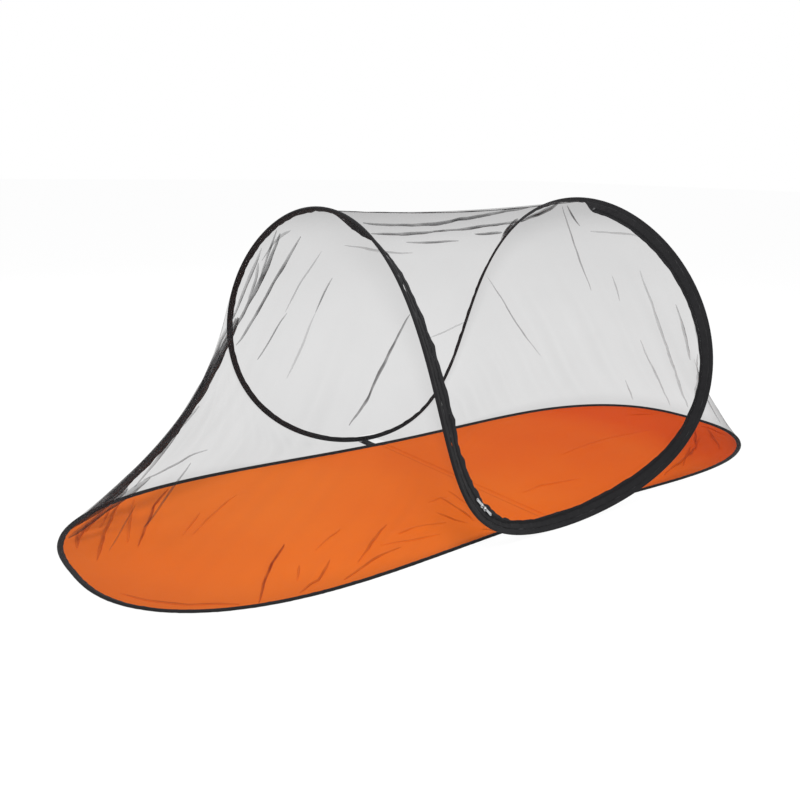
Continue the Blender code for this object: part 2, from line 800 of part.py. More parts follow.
def make_pull(name, matrix):
    """Make a pull tab: a flat tongue with an eye round the bridge and a grip hole."""
    start = -PULL_BAR / 2
    end = start + PULL_LENGTH
    half = PULL_WIDTH / 2
    neck = half * PULL_NECK_SHARE
    outline = [
        (start, -neck), (start + PULL_LENGTH / 3, -neck), (end - half, -half), (end, -half / 2),
        (end, half / 2), (end - half, half), (start + PULL_LENGTH / 3, neck), (start, neck),
    ]
    low = [Vector((x, y, -PULL_THICKNESS / 2)) for x, y in outline]
    high = [Vector((x, y, PULL_THICKNESS / 2)) for x, y in outline]
    tongue = loft(name, [low, high], PLATED_ZINC, capped=True, smooth=False)
    eye_size = (PULL_EYE_LENGTH, PULL_EYE_WIDTH, 2 * PULL_THICKNESS)
    eye = block(name + "_eye", eye_size, ((PULL_BAR + PULL_EYE_LENGTH) / 2, 0, 0))
    shape = bmesh.new()
    bmesh.ops.create_cone(
        shape, cap_ends=True, segments=HOLE_SIDES, radius1=PULL_HOLE_RADIUS, radius2=PULL_HOLE_RADIUS,
        depth=2 * PULL_THICKNESS,
    )
    bmesh.ops.translate(shape, vec=(end - half, 0, 0), verts=shape.verts)
    mesh = bpy.data.meshes.new(name + "_grip_hole")
    shape.to_mesh(mesh)
    shape.free()
    hole = bpy.data.objects.new(name + "_grip_hole", mesh)
    CUTTERS.objects.link(hole)
    for cutter in (eye, hole):
        cutter.hide_render = True
        cutter.display_type = "WIRE"
        cut = tongue.modifiers.new("cut " + cutter.name, "BOOLEAN")
        cut.operation = "DIFFERENCE"
        cut.solver = "EXACT"
        cut.object = cutter
    for piece in (tongue, eye, hole):
        piece.matrix_world = matrix
    return tongue


def arc_place(angle_along):
    """Return the zip's frame on the slider's arc, a turn up the leg from its low end."""
    radial_low, _ = arc_basis(zip_guide(ARC_LOW))
    turn = Matrix.Rotation(SLIDER_UP_SIGN * angle_along, 3, Vector(ARC_AXIS))
    radial = np.array(turn @ Vector(radial_low))
    along = np.cross(ARC_AXIS, radial) * SLIDER_UP_SIGN
    across = radial * math.cos(ARC_TILT) + ARC_AXIS * math.sin(ARC_TILT)
    face = unit(np.cross(along, across))
    _, _, outward = ring_frame(ARC_MIDDLE)
    if np.dot(face, outward) < 0:
        face = -face
    return ARC_CENTRE + radial * ARC_RADIUS, along, face


def arc_turn(point):
    """Return how far a point lies up the slider's arc, as a turn from its low end."""
    radial_low, along_low = arc_basis(zip_guide(ARC_LOW))
    radial, _ = arc_basis(point)
    return math.atan2(np.dot(radial, along_low), np.dot(radial, radial_low))


SLIDER_UP_SIGN = math.copysign(1, arc_turn(zip_guide(ARC_HIGH)))
ARC_SWEEP = abs(arc_turn(zip_guide(ARC_HIGH)))


def frame_matrix(place, along, face, flip):
    """Return the matrix that sets a slider on the zip, its shoulders up or down the leg."""
    forward = unit(along) * flip
    side = np.cross(face, forward)
    matrix = Matrix((forward, side, face)).transposed().to_4x4()
    matrix.translation = Vector(place)
    return matrix


def make_slider_set(name, turn, flip):
    """Make a slider and its pull tab on their joint axes."""
    place, along, face = arc_place(turn)
    matrix = frame_matrix(place, along, face, flip)
    pull_height = SLIDER_CHANNEL / 2 + SLIDER_PLATE + PULL_THICKNESS
    pull_matrix = matrix @ Matrix.Translation((PULL_BAR_OFFSET, 0, pull_height))
    slider = make_slider("zip_slider_" + name, matrix)
    pull = make_pull("zip_pull_" + name, pull_matrix)
    run_axis = make_axis("zip_slider_" + name + "_axis", Vector(ARC_CENTRE))
    pull_axis = make_axis("zip_pull_" + name + "_axis", pull_matrix.translation)
    hang(slider, run_axis)
    hang(pull, pull_axis)
    return slider, pull


# Small sewn pieces

def make_stop(name, angle):
    """Make the crimped stop between the end of the zip's teeth and the ridge."""
    middle, across, outward = zip_frame(angle)
    along = unit(np.cross(across, outward))
    if along[1] < 0:
        along = -along
    half_width = ZIP_HALF_WIDTH
    half_height = STOP_HEIGHT
    sections = []
    for step in (SEAM_GAP, SEAM_GAP + STOP_LENGTH):
        base = middle + along * step
        sections.append([
            base + across * half_width + outward * half_height,
            base - across * half_width + outward * half_height,
            base - across * half_width - outward * half_height,
            base + across * half_width - outward * half_height,
        ])
    return loft(name, sections, PLATED_ZINC, capped=True, smooth=False)


def make_tab(name, side):
    """Make a webbing tab between the groundsheet's binding and the arch ring."""
    low_x = FOLD_LINE_X - TAB_OFFSET - TAB_LENGTH
    start = FAR_FOOT if side > 0 else NEAR_FOOT
    angle = angle_at_x(ring_point, low_x + TAB_LENGTH / 2, start - 0.3, start + 0.3)
    ring_y = abs(ring_point(angle)[1]) - SLEEVE_NOSE_RADIUS
    edge_y = abs(floor_point(angle_at_x(floor_point, low_x, FAR_FOOT, FAR_FOOT + 0.2))[1])
    inner = edge_y + SLEEVE_NOSE_RADIUS + SEAM_GAP
    outer = ring_y
    outline = [
        (low_x, side * inner), (low_x + TAB_LENGTH, side * inner),
        (low_x + TAB_LENGTH, side * outer), (low_x, side * outer),
    ]
    return plate(name, outline, TAB_THICKNESS, 0, BLACK_TAPE)


# Assembly

fold_height = SLEEVE_NOSE_RADIUS * 2 + SLEEVE_TAIL_LENGTH
fold_place = (FOLD_LINE_X, 0, fold_height)
foot_arch_axis = make_axis("foot_arch_axis", fold_place)
head_floor_axis = make_axis("head_floor_axis", fold_place)
foot_floor_axis = make_axis("foot_floor_axis", fold_place)

make_arch("head", HEAD_RING)
foot_steel, foot_sleeve, foot_points = make_arch("foot", FOOT_RING)
ring_ferrule = ferrule("arch_ferrule", foot_points[FERRULE_STATION], foot_points[FERRULE_STATION + 1])
for foot_piece in (foot_steel, foot_sleeve, ring_ferrule):
    hang(foot_piece, foot_arch_axis)

head_cloth, head_wire, head_binding, _, HEAD_FLOOR = make_floor("head", -1)
foot_cloth, foot_wire, foot_binding, foot_edge, FOOT_FLOOR = make_floor("foot", 1)
floor_joint = ferrule("floor_ferrule", foot_edge[FERRULE_STATION], foot_edge[FERRULE_STATION + 1])
head_net = make_end_net("head", HEAD_RING, HEAD_FLOOR, END_SAG_HEAD, PLEATS_HEAD, PLEAT_DEPTH_HEAD)
foot_net = make_end_net("foot", FOOT_RING, FOOT_FLOOR, END_SAG_FOOT, PLEATS_FOOT, PLEAT_DEPTH_FOOT)
for floor_piece in (head_cloth, head_wire, head_binding, head_net):
    hang(floor_piece, head_floor_axis)
for floor_piece in (foot_cloth, foot_wire, foot_binding, floor_joint, foot_net):
    hang(floor_piece, foot_floor_axis)

overhang_x = FOLD_LINE_X + ZIP_BOTTOM_OVERHANG
relief_x = overhang_x + ZIP_BOTTOM_RELIEF
overhang = angle_at_x(ring_point, overhang_x, NEAR_FOOT, NEAR_FOOT + 0.3)
relief = angle_at_x(ring_point, relief_x, NEAR_FOOT, NEAR_FOOT + 0.3)
head_door_run = list(HEAD_RING[ZIP_TOP_STATION:])
foot_door_run = [angle + FOOT_TOP for angle in FOOT_RING[:ZIP_TOP_STATION - 1:-1]]
head_zip = make_zip_half("head", head_door_run + [overhang], head_door_run)
foot_zip = make_zip_half("foot", [relief] + foot_door_run[1:], foot_door_run)
make_stop("zip_stop_head", head_door_run[0])
foot_stop = make_stop("zip_stop_foot", foot_door_run[-1])
for zip_piece in (foot_zip[0], foot_zip[1], foot_stop):
    hang(zip_piece, foot_arch_axis)

make_wall_net()
door_net, door_place = make_door_net(head_door_run, foot_door_run)
make_ridge_tape(door_place)
door_axis = make_axis("door_axis", (FOLD_LINE_X, 0, door_place(0.5, 1)[2]))
for door_piece in (door_net, head_zip[2], head_zip[3], foot_zip[2], foot_zip[3]):
    hang(door_piece, door_axis)

slider_turn = SLIDER_PLACE_SHARE * ARC_SWEEP
make_slider_set("upper", slider_turn, 1)
make_slider_set("lower", slider_turn - SLIDER_SPACING / ARC_RADIUS, -1)

make_tab("side_tab_far", 1)
make_tab("side_tab_near", -1)
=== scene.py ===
import json
import math
import bpy
import numpy as np
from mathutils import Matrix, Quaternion, Vector, noise


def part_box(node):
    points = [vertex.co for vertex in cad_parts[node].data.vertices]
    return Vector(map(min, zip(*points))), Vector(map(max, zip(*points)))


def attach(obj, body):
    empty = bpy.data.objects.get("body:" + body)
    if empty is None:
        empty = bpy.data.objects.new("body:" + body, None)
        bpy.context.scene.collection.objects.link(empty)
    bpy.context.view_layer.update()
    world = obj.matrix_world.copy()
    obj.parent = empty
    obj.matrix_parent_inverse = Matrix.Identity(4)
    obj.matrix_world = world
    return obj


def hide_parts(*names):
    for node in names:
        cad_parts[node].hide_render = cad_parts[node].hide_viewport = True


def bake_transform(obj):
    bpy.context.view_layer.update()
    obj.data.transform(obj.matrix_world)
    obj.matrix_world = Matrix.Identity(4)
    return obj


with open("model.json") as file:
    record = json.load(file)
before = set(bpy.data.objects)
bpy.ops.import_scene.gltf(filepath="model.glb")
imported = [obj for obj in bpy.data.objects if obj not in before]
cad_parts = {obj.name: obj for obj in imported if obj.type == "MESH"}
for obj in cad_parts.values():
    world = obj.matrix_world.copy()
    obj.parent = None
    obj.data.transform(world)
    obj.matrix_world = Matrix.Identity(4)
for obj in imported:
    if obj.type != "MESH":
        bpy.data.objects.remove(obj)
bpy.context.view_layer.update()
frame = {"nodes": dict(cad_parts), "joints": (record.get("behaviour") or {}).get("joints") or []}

# Camera
# It stands near the head end at waist height and looks down along the door, as the
# photograph was taken. Its place comes from a fit to the outline of both spring rings.
eye = Vector((-1.5175, -1.7511, 0.8426))
look_turn, look_dip, look_roll = 0.6434, 0.2645, 0.0198
sensor_width, focal_pixels, picture_pixels = 36, 885.7, 800


def link(thing):
    """Put an object in the scene."""
    bpy.context.scene.collection.objects.link(thing)


lens = bpy.data.cameras.new("camera")
lens.sensor_width = sensor_width
lens.lens = sensor_width * focal_pixels / picture_pixels
camera = bpy.data.objects.new("camera", lens)
link(camera)
camera.location = eye
looking = Vector((math.sin(look_turn) * math.cos(look_dip),
                  math.cos(look_turn) * math.cos(look_dip), -math.sin(look_dip)))
level = looking.to_track_quat("-Z", "Y")
camera.rotation_euler = (level @ Quaternion((0, 0, 1), look_roll)).to_euler()
bpy.context.scene.camera = camera
bpy.context.scene.view_settings.view_transform = "Standard"


# Spring rings
# Two rings of drawn spring-steel wire carry the tent. The flat one lies in the groundsheet's
# edge. The larger one is bent like a saddle into both arches. A crimped ferrule closes each.
half_length, half_width, outline_power, waist, head_wider = 1.05, 0.448, 2.72, 0.222, 0.035
fold_x = -0.017
reach, reach_square, reach_foot = 0.522, -0.175, 0.01
spread, spread_bulge = 1.2054 * half_width, 0.242
rise, rise_flat, rise_lean, rise_shoulder = 0.737, 0.035, 0.005, 0.004
wire_radius, nose, small_turn, fold_half_run = 0.00175, 0.0037, 0.002, 0.03
tape_aim, tape_slant = np.array([0.03, 0, 0.36]), np.array([0, 0.7, 0])


def floor_wire(turn):
    """Return the groundsheet's wire: a rounded oblong drawn in at its waist."""
    share = 2 / outline_power
    cosine, sine = np.cos(turn), np.sin(turn)
    along = np.sign(cosine) * np.abs(cosine) ** share
    across = half_width * np.sign(sine) * np.abs(sine) ** share
    across = across * (1 - head_wider * along) * (1 - waist * (1 - along ** 2) ** 2)
    return np.stack([half_length * along, across, nose + 0 * along], -1)


def rise_share(turn):
    """Return the height of the arch wire as a share of its rise."""
    return (0.5 - rise_flat + 0.5 * np.cos(2 * turn) + rise_flat * np.cos(4 * turn)
            + rise_lean * np.cos(turn) + rise_shoulder * np.cos(3 * turn))


ring_base = nose - rise * rise_share(np.linspace(0, 2 * math.pi, 1400)).min()


def arch_wire(turn):
    """Return the saddle wire: 0 is the top of the foot arch and pi that of the head arch."""
    turn = np.asarray(turn, float)
    return np.stack([
        fold_x + reach * (np.cos(turn) + reach_square * np.cos(3 * turn)
                          + reach_foot * (np.cos(2 * turn) + 1)),
        spread * (np.sin(turn) + spread_bulge * np.sin(3 * turn)),
        ring_base + rise * rise_share(turn)], -1)


def unit(vectors):
    """Return vectors of length 1."""
    return vectors / np.linalg.norm(vectors, axis=-1, keepdims=True)


def run_of(points):
    """Return the length along a row of points at each of them."""
    steps = np.linalg.norm(np.diff(points, axis=0), axis=1)
    return np.concatenate([[0], np.cumsum(steps)])


def even_turns(route, start, end, count):
    """Return turns at equal steps of length along a route."""
    dense = np.linspace(start, end, 3000)
    length = run_of(route(dense))
    return np.interp(np.linspace(0, length[-1], count), length, dense)


def arch_frames(turns):
    """Return the wire's points, the way its tape points and the way out of the net."""
    centre = arch_wire(turns)
    along = unit(arch_wire(turns + small_turn) - arch_wire(turns - small_turn))
    to_middle = tape_aim + tape_slant * centre - centre
    inward = unit(to_middle - (to_middle * along).sum(-1, keepdims=True) * along)
    return centre, inward, np.cross(along, inward)


def floor_frames(turns):
    """Return the groundsheet wire's points, the way in across the sheet and straight down."""
    centre = floor_wire(turns)
    along = unit(floor_wire(turns + small_turn / 2) - floor_wire(turns - small_turn / 2))
    inward = np.cross(np.array([0, 0, 1.0]), along)
    return centre, inward, np.array([0, 0, -1.0]) + 0 * inward


class Dye:
    """A socket of a material; sums on it add Math nodes, and node() adds any other node."""

    def __init__(self, tree, socket=None):
        self.tree, self.socket = tree, socket

    def node(self, kind, settings, sockets, out=0):
        made = self.tree.nodes.new("ShaderNode" + kind)
        for name, value in settings.items():
            setattr(made, name, value)
        for name, value in sockets.items():
            if isinstance(value, Dye):
                self.tree.links.new(value.socket, made.inputs[name])
            else:
                made.inputs[name].default_value = value
        return Dye(self.tree, made.outputs[out])

    def output(self, name):
        return Dye(self.tree, self.socket.node.outputs[name])

    def mottle(self, **sockets):
        """Add noise that is fixed to the piece."""
        place = self.node("TexCoord", {}, {}, 3)
        return self.node("TexNoise", {}, {"Vector": place, **sockets})

    def math(self, operation, first, second=0.0):
        return self.node("Math", {"operation": operation}, {0: first, 1: second})

    def __add__(self, other):
        return self.math("ADD", self, other)

    def __sub__(self, other):
        return self.math("SUBTRACT", self, other)

    def __rsub__(self, other):
        return self.math("SUBTRACT", other, self)

    def __mul__(self, other):
        return self.math("MULTIPLY", self, other)

    __radd__, __rmul__ = __add__, __mul__

    def clamp(self, low=0.0, high=1.0):
        return self.math("MINIMUM", self.math("MAXIMUM", self, low), high)

    def mix(self, share, first, second):
        """Mix two colours."""
        return self.node("Mix", {"data_type": "RGBA"}, {0: share, 6: first, 7: second}, 2)


def make_finish(name, **fixed):
    """Return a new material, its start for sums, and a function that feeds its shader."""
    material = bpy.data.materials.new(name)
    material.use_nodes = True
    tree = material.node_tree
    shader = tree.nodes["Principled BSDF"]
    for socket, value in fixed.items():
        shader.inputs[socket.replace("_", " ")].default_value = value

    def feed(socket, value):
        tree.links.new(value.socket, shader.inputs[socket])
    return material, Dye(tree), feed


def skin(name, patches, material, tube=False):
    """Skin one or more patches, each of rows of points. The UV map runs in metres."""
    points, faces, spots, before = [], [], [], 0
    for rows in patches:
        rows = np.asarray(rows, float)
        count, width = rows.shape[:2]
        columns = width if tube else width - 1
        first = np.arange(count - 1)[:, None] * width + np.arange(columns) + before
        beside = np.arange(count - 1)[:, None] * width + (np.arange(columns) + 1) % width + before
        faces.append(np.stack([first, beside, beside + width, first + width], -1).reshape(-1, 4))
        points.append(rows.reshape(-1, 3))
        before += count * width
        run = np.linalg.norm(np.diff(rows, axis=0), axis=2).mean(1)
        run = np.concatenate([[0], np.cumsum(run)])
        over = np.linalg.norm(np.diff(rows, axis=1, append=rows[:, :1]), axis=2).mean(0)
        over = np.concatenate([[0], np.cumsum(over)])
        low, left = np.arange(count - 1)[:, None], np.arange(columns)[None]
        along = np.stack([run[low + step] + 0 * left for step in (0, 0, 1, 1)], -1)
        across = np.stack([over[left + step] + 0 * low for step in (0, 1, 1, 0)], -1)
        spots.append(np.stack([along, across], -1).reshape(-1, 2))
    mesh = bpy.data.meshes.new(name)
    mesh.from_pydata(np.concatenate(points).tolist(), [], np.concatenate(faces).tolist())
    layer = mesh.uv_layers.new(name="metres")
    layer.data.foreach_set("uv", np.concatenate(spots).astype(np.float32).ravel())
    mesh.shade_smooth()
    mesh.materials.append(material)
    piece = bpy.data.objects.new(name, mesh)
    link(piece)
    return piece


def bend(piece, first, second, shares):
    """Fix a piece's place into its mesh; the bodies first and second and the shares are not used.
    """
    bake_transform(piece)


def eased(values, start, end):
    """Return how far values are from start to end, eased at both ends."""
    share = np.clip((np.asarray(values, float) - start) / (end - start), 0, 1)
    return share * share * (3 - 2 * share)


def place_section(frames, section):
    """Return rows of points: a section of steps in and out, set on each frame."""
    centre, inward, outward = frames
    steps = np.asarray(section, float)
    if steps.ndim == 2:
        steps = np.broadcast_to(steps, (len(centre),) + steps.shape)
    return centre[:, None] + inward[:, None] * steps[..., :1] + outward[:, None] * steps[..., 1:]


steel, dye, feed = make_finish("drawn spring steel", Metallic=1.0, Specular_IOR_Level=0.5)
lines = dye.mottle(Scale=900.0)
feed("Base Color", dye.mix(lines, (0.30, 0.30, 0.31, 1), (0.46, 0.46, 0.47, 1)))
feed("Roughness", lines * 0.25 + 0.25)
round_section = [(wire_radius * math.cos(turn), wire_radius * math.sin(turn))
                 for turn in np.linspace(0, 2 * math.pi, 8, endpoint=False)]


def bend_at_fold(x, half_run=fold_half_run):
    """Return how far points lie past the fold line, head side to foot side."""
    return eased(x, fold_x - half_run, fold_x + half_run)


arch_turns = even_turns(arch_wire, math.pi / 2, 2.5 * math.pi, 301)
rows = place_section(arch_frames(arch_turns), round_section)
arch_steel = skin("arch_spring_wire", [rows], steel, tube=True)
bend(arch_steel, "arch_head", "arch_foot", bend_at_fold(rows[..., 0]))
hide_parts("arch_wire_head", "arch_wire_foot")

before_side, after_side, fine_steps = math.pi / 2 - 0.1, math.pi / 2 + 0.1, 4000


def first_turn(route, x, start, end):
    """Return the turn at which a route reaches a place along the tent."""
    dense = np.linspace(start, end, fine_steps)
    return dense[np.argmin(np.abs(route(dense)[:, 0] - x))]


def past_fold(x):
    """Return how far points lie from the fold line, towards either end."""
    return eased(np.abs(x - fold_x), 0, 0.06)


floor_ring = {}
for half, middle_turn in (("head", math.pi), ("foot", 0.0)):
    first = first_turn(floor_wire, fold_x, before_side, after_side)
    last = 2 * middle_turn - first
    turns = even_turns(floor_wire, min(first, last), max(first, last), 321)
    floor_ring[half] = floor_frames(turns)
    rows = place_section(floor_ring[half], round_section)
    piece = skin("edge_spring_wire_" + half, [rows], steel, tube=True)
    bend(piece, "arch_" + half, "floor_" + half, past_fold(rows[..., 0]))
    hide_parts("floor_wire_" + half)


# Ring ferrules
# Each ring's wire ends meet in a short steel tube, crimped in place inside the tape.
for node in ("arch_ferrule", "floor_ferrule"):
    frame["nodes"][node].data.materials[0] = steel


# Groundsheet
# One layer of plain-woven orange polyester, cut to the ring's outline and sewn into its
# edge tape. It isn't stretched, so it lies in shallow folds that run from the ring.
# Shade is painted into its creases and towards both its tips.
sheet_rise, under_tape, flat_edge, strip_half = 0.0016, 0.009, 0.05, 0.02
sheet_columns, sheet_rows = 97, 170
crease_lines = [  # start, end, width and height
    ((-0.62, -0.13), (-0.79, -0.34), 0.016, 0.006), ((-0.37, -0.17), (-0.53, -0.30), 0.014, 0.006),
    ((-0.47, -0.13), (-0.58, -0.20), 0.012, 0.004), ((-0.58, -0.25), (-0.70, -0.35), 0.012, 0.005),
    ((-0.41, -0.29), (-0.60, -0.35), 0.013, 0.005), ((-0.70, 0.35), (-0.89, 0.04), 0.014, 0.007),
    ((-0.83, 0.33), (-0.99, 0.02), 0.016, 0.007), ((-0.79, 0.33), (-0.90, 0.08), 0.012, 0.005),
    ((-0.57, 0.20), (-0.77, 0.03), 0.014, 0.004), ((-0.15, -0.10), (-0.17, -0.27), 0.012, 0.006),
    ((-0.37, -0.23), (-0.24, -0.24), 0.011, 0.005), ((0.87, -0.16), (0.49, -0.32), 0.013, 0.006),
    ((0.99, -0.11), (0.82, -0.28), 0.012, 0.006), ((0.76, -0.21), (0.60, -0.30), 0.010, 0.005),
    ((0.37, -0.03), (0.81, -0.02), 0.022, 0.004), ((0.40, 0.34), (0.10, 0.12), 0.016, 0.005),
]
sharp_creases = [  # route in millimetres, half width and darkness of its painted shade
    ([(-621, -133), (-693, -208), (-752, -279), (-792, -338)], 0.0036, 0.95),
    ([(-366, -170), (-460, -243), (-533, -299)], 0.0036, 0.50),
    ([(-472, -133), (-578, -195)], 0.0028, 0.31),
    ([(-578, -256), (-648, -323), (-705, -347)], 0.0034, 0.44),
    ([(-415, -292), (-514, -317), (-602, -350)], 0.0036, 0.50),
    ([(-643, -241), (-684, -298)], 0.0026, 0.31),
    ([(-700, 338), (-774, 241), (-846, 119), (-891, 44)], 0.0045, 0.88),
    ([(-835, 318), (-920, 169), (-989, 24)], 0.0045, 0.62),
    ([(-855, 318), (-927, 188)], 0.0036, 0.50),
    ([(-800, 318), (-853, 196), (-902, 77)], 0.0034, 0.31),
    ([(-939, 240), (-990, 150)], 0.0045, 0.75),
    ([(-975, 200), (-1005, 110)], 0.0045, 0.62),
    ([(-880, 300), (-923, 245), (-960, 187)], 0.0050, 0.62),
    ([(-572, 203), (-689, 107), (-768, 33)], 0.0034, 0.28),
    ([(-696, 149), (-787, 45)], 0.0030, 0.25),
    ([(-1000, -150), (-964, -210), (-909, -268), (-826, -320)], 0.0040, 0.56),
    ([(-148, -105), (-160, -179), (-175, -269)], 0.0034, 0.56),
    ([(-214, -175), (-210, -238), (-195, -270)], 0.0034, 0.56),
    ([(-191, -110), (-131, -109)], 0.0026, 0.44),
    ([(-373, -228), (-306, -224), (-236, -236)], 0.0034, 0.44),
    ([(-94, -73), (-115, -169)], 0.0028, 0.38),
    ([(-443, -254), (-371, -270), (-292, -283)], 0.0032, 0.38),
    ([(874, -164), (700, -251), (489, -318)], 0.0040, 0.56),
    ([(1000, -80), (975, -190)], 0.0042, 0.69),
    ([(985, -111), (825, -270)], 0.0038, 0.56),
    ([(980, -67), (757, -232)], 0.0040, 0.69),
    ([(758, -209), (600, -300)], 0.0038, 0.56),
    ([(881, 145), (985, 103)], 0.0036, 0.44),
    ([(370, -34), (585, 0), (809, -18)], 0.0036, 0.25),
    ([(60, -195), (137, -182), (269, -204)], 0.0034, 0.28),
]


def pucker(run, seed, size, step):
    """Return an uneven wave along a seam: its size, and about its length in metres."""
    wave = np.zeros(len(run))
    for times, weight in ((1.0, 0.5), (1.63, 0.3), (2.71, 0.2), (0.37, 0.35)):
        wave += weight * np.sin(2 * math.pi * run * times / step + seed * times * 2.4)
    return wave * size


def make_fold(middle, normal, wide, dark, seed, lift=0.5):
    """Return a narrow fold that stands on a surface, and how dark each of its points is."""
    run = run_of(middle)
    share = run / run[-1]
    over = unit(np.cross(normal, unit(np.gradient(middle, axis=0))))
    half = wide * np.sin(math.pi * np.clip(share, 0.01, 0.99)) ** 0.35
    half = half * (1 + pucker(run, seed * 1.7, 0.2, 0.16) + pucker(run, seed, 0.06, 0.05))
    drift = pucker(run, seed * 0.9, 0.3 * wide + 0.0006, 0.17)
    fade = 0.55 + 0.45 * np.sin(math.pi * share) + pucker(run, seed * 2.1, 0.22, 0.09)
    patch, shade = [], []
    for place, high in ((-1, 0.0), (-0.55, 0.8), (0, 1.0), (0.55, 0.8), (1, 0.0)):
        patch.append(middle + over * (place * half + drift)[:, None]
                     + normal * (lift * half * high)[:, None])
        shade.append(np.clip(dark * (0.5 + 0.5 * high) * fade, 0, 1))
    return np.stack(patch, 1), np.stack(shade, 1)


def paint(piece, name, shades):
    """Store a value for each point of a piece, for its material."""
    values = piece.data.attributes.new(name, "FLOAT", "POINT")
    flat = np.concatenate([shade.ravel() for shade in shades])
    values.data.foreach_set("value", flat.astype(np.float32))


def sheet_height(x, y):
    """Return how high the groundsheet's folds stand."""
    place = Vector((x * 2.1, y * 2.6, 3.7))
    swell = 0.5 + 0.5 * noise.noise(place) + 0.22 * noise.noise(place * 3.1)
    height = 0.0045 * max(swell - 0.25, 0) ** 1.5
    place = Vector((x * 5.5, y * 14, 8.1))
    height += 0.0012 * abs(noise.noise(place)) + 0.0005 * noise.noise(place * 3.7)
    for (ax, ay), (bx, by), width, depth in crease_lines:
        dx, dy = bx - ax, by - ay
        run = math.hypot(dx, dy)
        along = ((x - ax) * dx + (y - ay) * dy) / run ** 2
        if -0.1 < along < 1.1:
            wander = 0.012 * noise.noise(Vector((along * 3, ax * 9, ay * 9)))
            side = ((x - ax) * dy - (y - ay) * dx) / run + wander
            fade = math.sin(math.pi * min(max(along * 0.9 + 0.1, 0), 1)) ** 0.7
            height += depth * fade * math.exp(-(side / width) ** 2)
    return height


def thicken(piece, thickness):
    """Give a sheet its thickness."""
    wall = piece.modifiers.new("thickness", "SOLIDIFY")
    wall.thickness, wall.offset = thickness, 0.0


def make_sheet(name, side, material):
    """Make one half of the groundsheet, from the fold line to its end."""
    middle_turn = {-1: math.pi, 1: 0.0}[side]
    turns = even_turns(floor_wire, math.pi / 2, middle_turn, fine_steps)
    first = turns[np.argmin(np.abs(floor_wire(turns)[:, 0] - fold_x))]
    turns = even_turns(floor_wire, first, middle_turn, sheet_rows)[:-1]
    centre, inward, _ = floor_frames(turns)
    edge = centre + inward * under_tape
    edge[:, 1] = np.maximum(edge[:, 1], 0.003)
    rows = []
    for point in edge:
        row = []
        for share in np.linspace(-1, 1, sheet_columns):
            y = point[1] * math.sin(share * math.pi / 2)
            inside = min((point[1] - abs(y)) / flat_edge, 1) if point[1] > flat_edge else 0.3
            inside = max(inside, 0) ** 0.6 * eased(abs(point[0] - fold_x), 0, flat_edge)
            row.append((point[0], y, sheet_rise + sheet_height(point[0], y) * inside))
        rows.append(row)
    patches = [np.asarray(rows if side < 0 else rows[::-1])]
    shades = [0 * patches[0][..., 0]]
    for number, (route, wide, dark) in enumerate(sharp_creases):
        route = np.array(route) / 1000
        if (route[0, 0] - fold_x) * side > 0:
            leg = run_of(route)
            step = np.linspace(0, leg[-1], max(int(leg[-1] / 0.006), 10))
            x, y = [np.interp(step, leg, route[:, axis]) for axis in (0, 1)]
            height = np.array([sheet_height(*place) for place in zip(x, y)])
            middle = np.stack([x, y, sheet_rise + height], -1)
            upward = np.array([0, 0, 1.0]) + 0 * middle
            patch, shade = make_fold(middle, upward, wide, dark, number)
            patches.append(patch)
            # Painted shade along each crease, darker on one side of it than on the other.
            shades.append(shade * [0.3, 0.6, 1.0, 1.0, 0.6])
    piece = skin(name, patches, material)
    paint(piece, "painted_crease_shade", shades)
    thicken(piece, 0.0004)
    return piece, np.concatenate([patch.reshape(-1, 3) for patch in patches])


def bump(dye, height, distance, strength):
    """Return the normal of a height in metres."""
    return dye.node("Bump", {}, {"Strength": strength, "Distance": distance, "Height": height})


cloth, dye, feed = make_finish("orange plain-weave polyester", Specular_IOR_Level=0.04)
where = dye.node("TexCoord", {}, {}, 3)
woven = {"Vector": dye.node("UVMap", {"uv_map": "metres"}, {}), "Scale": 480.0, "Distortion": 0.6}
warp = dye.node("TexWave", {"bands_direction": "X"}, woven)
weft = dye.node("TexWave", {"bands_direction": "Y"}, woven)
blotches = dye.node("TexNoise", {}, {"Vector": where, "Scale": 2.3, "Detail": 4.0})
fibres = dye.node("TexNoise", {}, {"Vector": where, "Scale": 60.0, "Detail": 3.0})
ends = dye.node("SeparateXYZ", {}, {"Vector": where})
# Painted shade: the cloth is painted darker towards both tips of the sheet. Its tone also varies at
# random in broad blotches and deepens towards the foot end.
painted_shade_at_tips = (ends.math("ABSOLUTE", ends) - 0.62).clamp() * 1.2
tone = (blotches * 0.6 + 0.36 - ends * 0.55 - painted_shade_at_tips).clamp()
deep_orange, lit_orange = (0.80, 0.072, 0.005, 1), (0.98, 0.200, 0.018, 1)
worn_orange, crease_shade_brown = (1.0, 0.25, 0.035, 1), (0.24, 0.016, 0.003, 1)
thread_gap = (0.56, 0.075, 0.008, 1)
colour = dye.mix(fibres * 0.2, dye.mix(tone, deep_orange, lit_orange), worn_orange)
# Painted shade in the creases: a dark brown is mixed in where the sheet is creased.
painted_crease_shade = dye.node("Attribute", {"attribute_name": "painted_crease_shade"}, {}, 2)
colour = dye.mix(painted_crease_shade * 0.92, colour, crease_shade_brown)
weave = warp * weft + fibres * 0.4
feed("Base Color", dye.mix(weave * 0.12, colour, thread_gap))
feed("Roughness", 0.78 - weave * 0.16)
feed("Normal", bump(dye, weave, 0.00012, 0.6))

for half, side in (("head", -1), ("foot", 1)):
    piece, points = make_sheet("groundsheet_" + half + "_cloth", side, cloth)
    bend(piece, "arch_" + half, "floor_" + half, past_fold(points[:, 0]))
    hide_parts("groundsheet_" + half)

strip_rows = [[(x, y, sheet_rise - 0.0003) for y in np.linspace(-0.355, 0.355, 41)]
              for x in np.linspace(fold_x - strip_half, fold_x + strip_half, 9)]
strip = skin("groundsheet_fold_strip", [strip_rows], cloth)
bend(strip, "arch_head", "arch_foot", bend_at_fold(np.asarray(strip_rows)[..., 0], strip_half))


